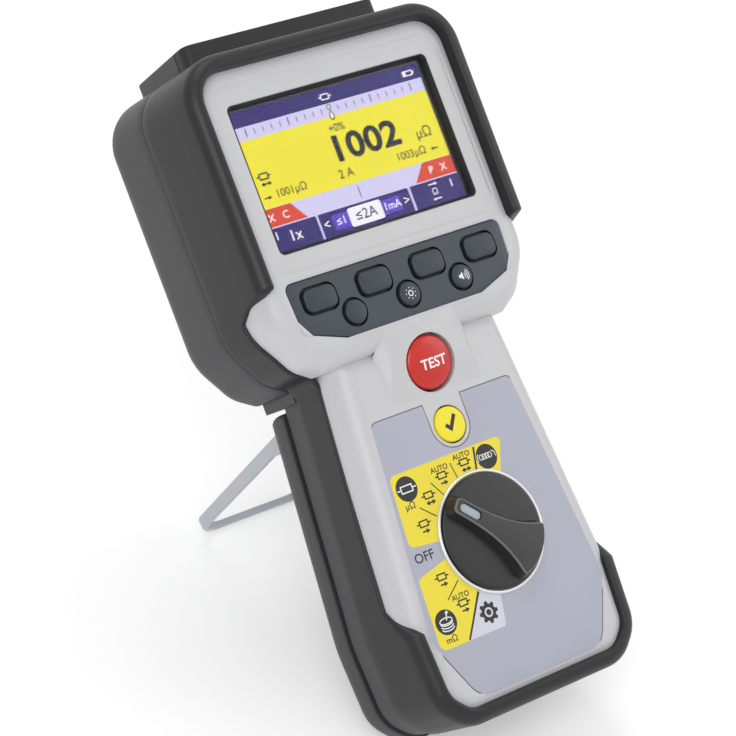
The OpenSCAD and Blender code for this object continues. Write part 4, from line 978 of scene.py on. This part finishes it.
def knob(sizes):
    """Rotary knob: a thin disc with an eased edge, and a grip whose half width grows from the pointer's tip
    to the fan end by 7 * ((18 - x) / 32.4) ** 3, with drafted walls and an eased top edge."""
    disc_r, ring_r, angle = 1000 * sizes.disc_radius, 1000 * sizes.ring_radius, sizes.pointer
    top, slot_floor, insert_u = 5.96, 4.9, 12.0
    disc = [(6, 0.5), (disc_r, 0.5), (disc_r, 1.35), (disc_r - 0.1, 1.68), (18.8, 1.85), (18.2, 1.9),
            (2, 1.9)]
    s = Shape().add(skin(lathe(disc, 0, KNOB_V, 128)))
    x = np.arange(14.0, -11, -4)
    half_width = 2.6 + 7 * ((18 - x) / 32.4) ** 3
    upper = [(17.7, 2.6, 1.5)] + [(a, b, 14) for a, b in zip(x, half_width)] + [(-14.4, 9.6, 1.0)]
    fan_end = [(17.4 * math.cos(a), 17.4 * math.sin(a), 12) for a in np.radians((157, 168, 180, 192, 203))]
    plan = upper + fan_end + [(a, -b, r) for a, b, r in reversed(upper)]
    # the grip's drafted walls are black, its eased top edge gets the light grey of a painted highlight, and its
    # top is grey
    for slot, profile in enumerate(([(-1.5, 1.6), (-1.4, 1.9), (-0.7, 3.6), (-0.12, 5.2)],
                                    [(-0.12, 5.2), (-0.04, 5.55), (0.14, 5.82), (0.38, 5.92)],
                                    [(0.38, 5.92), (0.7, top)])):
        g = rings(plan, profile, None, 5)
        s.add(skin(knob_place(g, angle)), slot)
    pocket = rounded(rectangle(insert_u, 0, 8.4, 3.3, 1.6), 0, 8)
    points, faces = sheet([g[-1], pocket], top)
    s.add((knob_place(points, angle), faces), 2)
    s.add(skin(knob_place(wall(pocket, top, slot_floor), angle)))
    s.finish("range_knob_body", ["satin_black_knob", "knob_edge_painted_highlight", "knob_top_grey"], body="range_knob",
             replaces=["range_knob"], slot="knob_black", smooth=42)
    eased = [(0, 4.8), (0, 5.35), (0.12, 5.5), (0.35, 5.56)]
    insert = rings(rectangle(insert_u, 0, 8.2, 3.1, 1.5), eased, None, 8)
    s = capped(Shape(), knob_place(insert, angle))
    s.finish("knob_pointer_insert", ["moulded_insert_pale_blue"], body="range_knob",
             replaces=["knob_pointer"], slot="pointer", smooth=50)
    ring = [(19.35, -0.6), (ring_r, -0.6), (ring_r, 0.75), (ring_r - 0.15, 1.0), (ring_r - 0.45, 1.1),
            (19.8, 1.08), (19.5, 0.9), (19.42, 0.6), (19.35, -0.6)]
    s = Shape().add(skin(lathe(ring, 0, KNOB_V, 128)))
    s.finish("knob_ring_plated", ["plated_ring"], replaces=["knob_ring"], slot="ring_metal", smooth=60)


def window():
    """Clear window: a thin slab with its edges inside the black frame, and the frame."""
    g = rings(both([(39.6, 162.6, 1.2), (39.6, 210.9, 1.2)]), [(0, 0.95), (0, 1.5), (0.1, 1.6)], None, 6)
    capped(Shape(), g).finish("display_window_pane", ["acrylic_window"], replaces=["display_window"],
                              slot="window", smooth=40)
    frame_profile = [(0.05, 0.7), (0.05, 3.6), (0.25, 3.7), (0.55, 3.3), (1.15, 1.7), (1.2, 0.7), (0.05, 0.7)]
    Shape().add(skin(rings(both(WINDOW), frame_profile))).finish(
        "display_frame_black", ["black_moulding_and_painted_gap_shade"], replaces=["window_frame"], slot="frame_black", smooth=40)


# Each CAD node that keeps its own shape, and the finish it gets
KEPT = {
    "case_gasket": "silicone_gasket_black", "key_mat": "silicone_gasket_black",
    "display_module": "black_moulding_and_painted_gap_shade", "display_board": "green_solder_mask", "main_board": "green_solder_mask",
    "rotary_switch": "phenolic_switch_blue", "current_inductor": "ferrite_grey",
    "shunt_resistor": "nickel_plated_brass", "sounder": "moulded_pa_black",
    "socket_shrouds_red": "moulded_pa_red", "socket_shrouds_black": "moulded_pa_black",
    **{name: "zinc_plated_steel" for name in ("key_switches", "switch_shaft", "battery_contacts",
                                              "socket_nuts", "case_screws", "cover_screws")},
    **{"battery_cell_%d" % i: "cell_jacket_green" for i in range(1, 7)},
    **{"test_socket_" + n: "nickel_plated_brass" for n in ("c1", "p1", "p2", "c2")},
}


def dress_kept():
    """Assigns each kept CAD node's finish to its material slots."""
    for name, material in KEPT.items():
        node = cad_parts[name]
        if not node.material_slots:
            node.data.materials.append(finish(material))
        for slot in node.material_slots:
            slot.material = finish(material)


def stage(levels):
    """Pale floor, even white background, soft studio lamps, and the camera at the photograph's angle."""
    scene = bpy.context.scene
    scene.view_settings.view_transform = "Standard"
    floor = bpy.data.meshes.new("floor")
    half, paint, glow_level = 4, 0.9, 0.32
    corners = [(-half, -half, 0), (half, -half, 0), (half, half, 0), (-half, half, 0)]
    floor.from_pydata(corners, [], [(0, 1, 2, 3)])
    ground = bpy.data.objects.new("floor", floor)
    bpy.context.collection.objects.link(ground)
    m = bpy.data.materials.new("pale_studio_floor")
    m.use_nodes = True
    tree = m.node_tree
    shader = next(n for n in tree.nodes if n.type == "BSDF_PRINCIPLED")
    shader.inputs["Base Color"].default_value = (paint, paint, paint, 1)
    shader.inputs["Roughness"].default_value = 0.9
    glow = add(tree, "ShaderNodeEmission", Strength=glow_level)
    lit_floor = add(tree, "ShaderNodeAddShader", [(0, shader.outputs[0]), (1, glow.outputs[0])])
    out = next(n for n in tree.nodes if n.type == "OUTPUT_MATERIAL")
    tree.links.new(out.inputs["Surface"], lit_floor.outputs[0])
    floor.materials.append(m)
    world = bpy.data.worlds.new("studio")
    scene.world = world
    world.use_nodes = True
    tree = world.node_tree
    back = next(n for n in tree.nodes if n.type == "BACKGROUND")
    path = add(tree, "ShaderNodeLightPath")
    seen = add(tree, "ShaderNodeMath",
               [(0, path.outputs["Is Camera Ray"]), (1, path.outputs["Is Glossy Ray"])], operation="MAXIMUM")
    seen = add(tree, "ShaderNodeMath", [(0, seen.outputs[0]), (1, path.outputs["Is Transmission Ray"])],
               operation="MAXIMUM")
    level = add(tree, "ShaderNodeMapRange", [("Value", seen.outputs[0])])
    level.inputs["To Min"].default_value = levels.ambient
    level.inputs["To Max"].default_value = 1.0
    tree.links.new(back.inputs["Strength"], level.outputs["Result"])
    back.inputs["Color"].default_value = (1, 1, 1, 1)
    centre = Vector((0, 0, 0.1))
    for name, spot, size, power in (("key", (-0.9, -0.9, 1.3), 0.9, levels.key),
                                    ("fill", (1.2, -0.6, 0.9), 1.0, levels.fill),
                                    ("top", (0.1, 0.5, 1.6), 0.8, levels.top)):
        lamp = bpy.data.lights.new(name, "AREA")
        lamp.size, lamp.energy = size, power
        item = bpy.data.objects.new(name, lamp)
        bpy.context.collection.objects.link(item)
        item.location = spot
        item.rotation_euler = (centre - Vector(spot)).to_track_quat("-Z", "Y").to_euler()
    camera = bpy.data.cameras.new("camera")
    camera.lens, camera.sensor_width, camera.clip_end = levels.lens, 36, 20
    item = bpy.data.objects.new("camera", camera)
    bpy.context.collection.objects.link(item)
    axes = [(place(a) - place((0, 0, 0))) * 1000 for a in CAMERA_AXES]
    basis = Matrix(axes).transposed().to_4x4()
    basis.translation = Vector(place(CAMERA_PLACE))
    item.matrix_world = basis
    scene.camera = item


def socket_cutter():
    """Four closed cylinders along v, where the tower's sockets go in."""
    s = Shape()
    a = np.linspace(0, 2 * math.pi, 40, endpoint=False)
    for i in range(4):
        u = (i - 1.5) * SOCKET_PITCH + SOCKET_HOLE_R * np.cos(a)
        w = SOCKET_W - SOCKET_HOLE_R * np.sin(a)
        capped(s, np.array([np.column_stack((u, np.full(40, v), w)) for v in (BODY_L - 2, BODY_L + 12)]))
    return solid(s)


class OhmmeterKeySizes(bpy.types.PropertyGroup):
    """Sizes of the keys on the keypad plate"""
    soft_width: bpy.props.FloatProperty(name="Soft key width", description="Width of a soft key's cap",
                                        default=0.0124, unit="LENGTH")
    soft_height: bpy.props.FloatProperty(name="Soft key height", description="Height of a soft key's cap",
                                         default=0.0076, unit="LENGTH")
    round_radius: bpy.props.FloatProperty(name="Round key radius", description="Radius of a round key's cap",
                                          default=0.004, unit="LENGTH")


class OhmmeterKnobSizes(bpy.types.PropertyGroup):
    """Sizes of the range knob and its ring, and where the pointer rests"""
    disc_radius: bpy.props.FloatProperty(name="Disc radius", description="Radius of the knob's thin disc",
                                         default=0.0192, unit="LENGTH")
    ring_radius: bpy.props.FloatProperty(name="Ring radius", description="Outer radius of the plated ring",
                                         default=0.0206, unit="LENGTH")
    pointer: bpy.props.FloatProperty(name="Pointer angle", description="Angle of the pointer from the right",
                                     default=math.radians(135), subtype="ANGLE")


class OhmmeterStageLevels(bpy.types.PropertyGroup):
    """Levels of the studio light, and the camera's lens"""
    key: bpy.props.FloatProperty(name="Key lamp", description="Power of the lamp at the front left",
                                 default=10.0, unit="POWER")
    fill: bpy.props.FloatProperty(name="Fill lamp", description="Power of the lamp at the front right",
                                  default=4.0, unit="POWER")
    top: bpy.props.FloatProperty(name="Top lamp", description="Power of the lamp overhead", default=5.0,
                                 unit="POWER")
    ambient: bpy.props.FloatProperty(name="Room light",
                                     description="Strength of the even light from all round", default=0.45)
    lens: bpy.props.FloatProperty(name="Lens", description="Focal length that matches the photograph in mm",
                                  default=141.957)


class OHMMETER_OT_front_case(bpy.types.Operator):
    """Build the pale front case with its openings and the test button's ramp"""
    bl_idname = "ohmmeter.front_case"
    bl_label = "Front case"

    def execute(self, context):
        front_case()
        return {"FINISHED"}


class OHMMETER_OT_bumper(bpy.types.Operator):
    """Build the dark bumper moulded round the front case"""
    bl_idname = "ohmmeter.bumper"
    bl_label = "Bumper"

    def execute(self, context):
        bumper()
        return {"FINISHED"}


class OHMMETER_OT_rear_case(bpy.types.Operator):
    """Build the dark rear case with the terminal tower"""
    bl_idname = "ohmmeter.rear_case"
    bl_label = "Rear case"

    def execute(self, context):
        cut(rear_case(), socket_cutter())
        return {"FINISHED"}


class OHMMETER_OT_battery_cover(bpy.types.Operator):
    """Build the battery cover with the stand's groove"""
    bl_idname = "ohmmeter.battery_cover"
    bl_label = "Battery cover"

    def execute(self, context):
        battery_cover()
        return {"FINISHED"}


class OHMMETER_OT_stand(bpy.types.Operator):
    """Build the folding stand"""
    bl_idname = "ohmmeter.stand"
    bl_label = "Stand"

    def execute(self, context):
        stand()
        return {"FINISHED"}


class OHMMETER_OT_keypad(bpy.types.Operator):
    """Build the key plate, the four soft keys and the three round keys"""
    bl_idname = "ohmmeter.keypad"
    bl_label = "Keypad"

    def execute(self, context):
        keypad(context.scene.ohmmeter_keys)
        return {"FINISHED"}


class OHMMETER_OT_buttons(bpy.types.Operator):
    """Build the red test button and the yellow tick button"""
    bl_idname = "ohmmeter.buttons"
    bl_label = "Test and tick buttons"

    def execute(self, context):
        buttons()
        return {"FINISHED"}


class OHMMETER_OT_knob(bpy.types.Operator):
    """Build the range knob, its pointer insert and the plated ring"""
    bl_idname = "ohmmeter.knob"
    bl_label = "Range knob"

    def execute(self, context):
        knob(context.scene.ohmmeter_knob)
        return {"FINISHED"}


class OHMMETER_OT_label(bpy.types.Operator):
    """Build the printed face label"""
    bl_idname = "ohmmeter.label"
    bl_label = "Face label"

    def execute(self, context):
        printed_label()
        return {"FINISHED"}


class OHMMETER_OT_picture(bpy.types.Operator):
    """Build the lit picture of the display"""
    bl_idname = "ohmmeter.picture"
    bl_label = "Display picture"

    def execute(self, context):
        picture()
        return {"FINISHED"}


class OHMMETER_OT_window(bpy.types.Operator):
    """Build the display's clear window and its black frame"""
    bl_idname = "ohmmeter.window"
    bl_label = "Display window"

    def execute(self, context):
        window()
        return {"FINISHED"}


class OHMMETER_OT_kept(bpy.types.Operator):
    """Give the parts that keep their own shape their finishes"""
    bl_idname = "ohmmeter.kept"
    bl_label = "Inner parts"

    def execute(self, context):
        dress_kept()
        return {"FINISHED"}


class OHMMETER_OT_stage(bpy.types.Operator):
    """Set up the floor, the white background, the lamps and the camera"""
    bl_idname = "ohmmeter.stage"
    bl_label = "Studio"

    def execute(self, context):
        stage(context.scene.ohmmeter_stage)
        return {"FINISHED"}


GROUPS = {"ohmmeter_keys": OhmmeterKeySizes, "ohmmeter_knob": OhmmeterKnobSizes,
          "ohmmeter_stage": OhmmeterStageLevels}
OPERATORS = (OHMMETER_OT_front_case, OHMMETER_OT_bumper, OHMMETER_OT_rear_case, OHMMETER_OT_battery_cover,
             OHMMETER_OT_stand, OHMMETER_OT_keypad, OHMMETER_OT_buttons, OHMMETER_OT_knob, OHMMETER_OT_label,
             OHMMETER_OT_picture, OHMMETER_OT_window, OHMMETER_OT_kept, OHMMETER_OT_stage)


class OHMMETER_PT_parts(bpy.types.Panel):
    """Lists the sizes and the pieces in the order in which they are built"""
    bl_idname = "OHMMETER_PT_parts"
    bl_label = "Micro ohmmeter"
    bl_space_type = "VIEW_3D"
    bl_region_type = "UI"
    bl_category = "Ohmmeter"

    def draw(self, context):
        for name, group in GROUPS.items():
            box = self.layout.box()
            for size in group.__annotations__:
                box.prop(getattr(context.scene, name), size)
        for operator in OPERATORS:
            self.layout.operator(operator.bl_idname)


def register():
    for item in (*GROUPS.values(), *OPERATORS, OHMMETER_PT_parts):
        bpy.utils.register_class(item)
    for name, group in GROUPS.items():
        setattr(bpy.types.Scene, name, bpy.props.PointerProperty(type=group))


def unregister():
    for name in GROUPS:
        delattr(bpy.types.Scene, name)
    for item in reversed((*GROUPS.values(), *OPERATORS, OHMMETER_PT_parts)):
        bpy.utils.unregister_class(item)


def main():
    register()
    bpy.ops.ohmmeter.front_case()
    bpy.ops.ohmmeter.bumper()
    bpy.ops.ohmmeter.rear_case()
    bpy.ops.ohmmeter.battery_cover()
    bpy.ops.ohmmeter.stand()
    bpy.ops.ohmmeter.keypad()
    bpy.ops.ohmmeter.buttons()
    bpy.ops.ohmmeter.knob()
    bpy.ops.ohmmeter.label()
    bpy.ops.ohmmeter.picture()
    bpy.ops.ohmmeter.window()
    bpy.ops.ohmmeter.kept()
    bpy.ops.ohmmeter.stage()


if __name__ == "__main__":
    main()
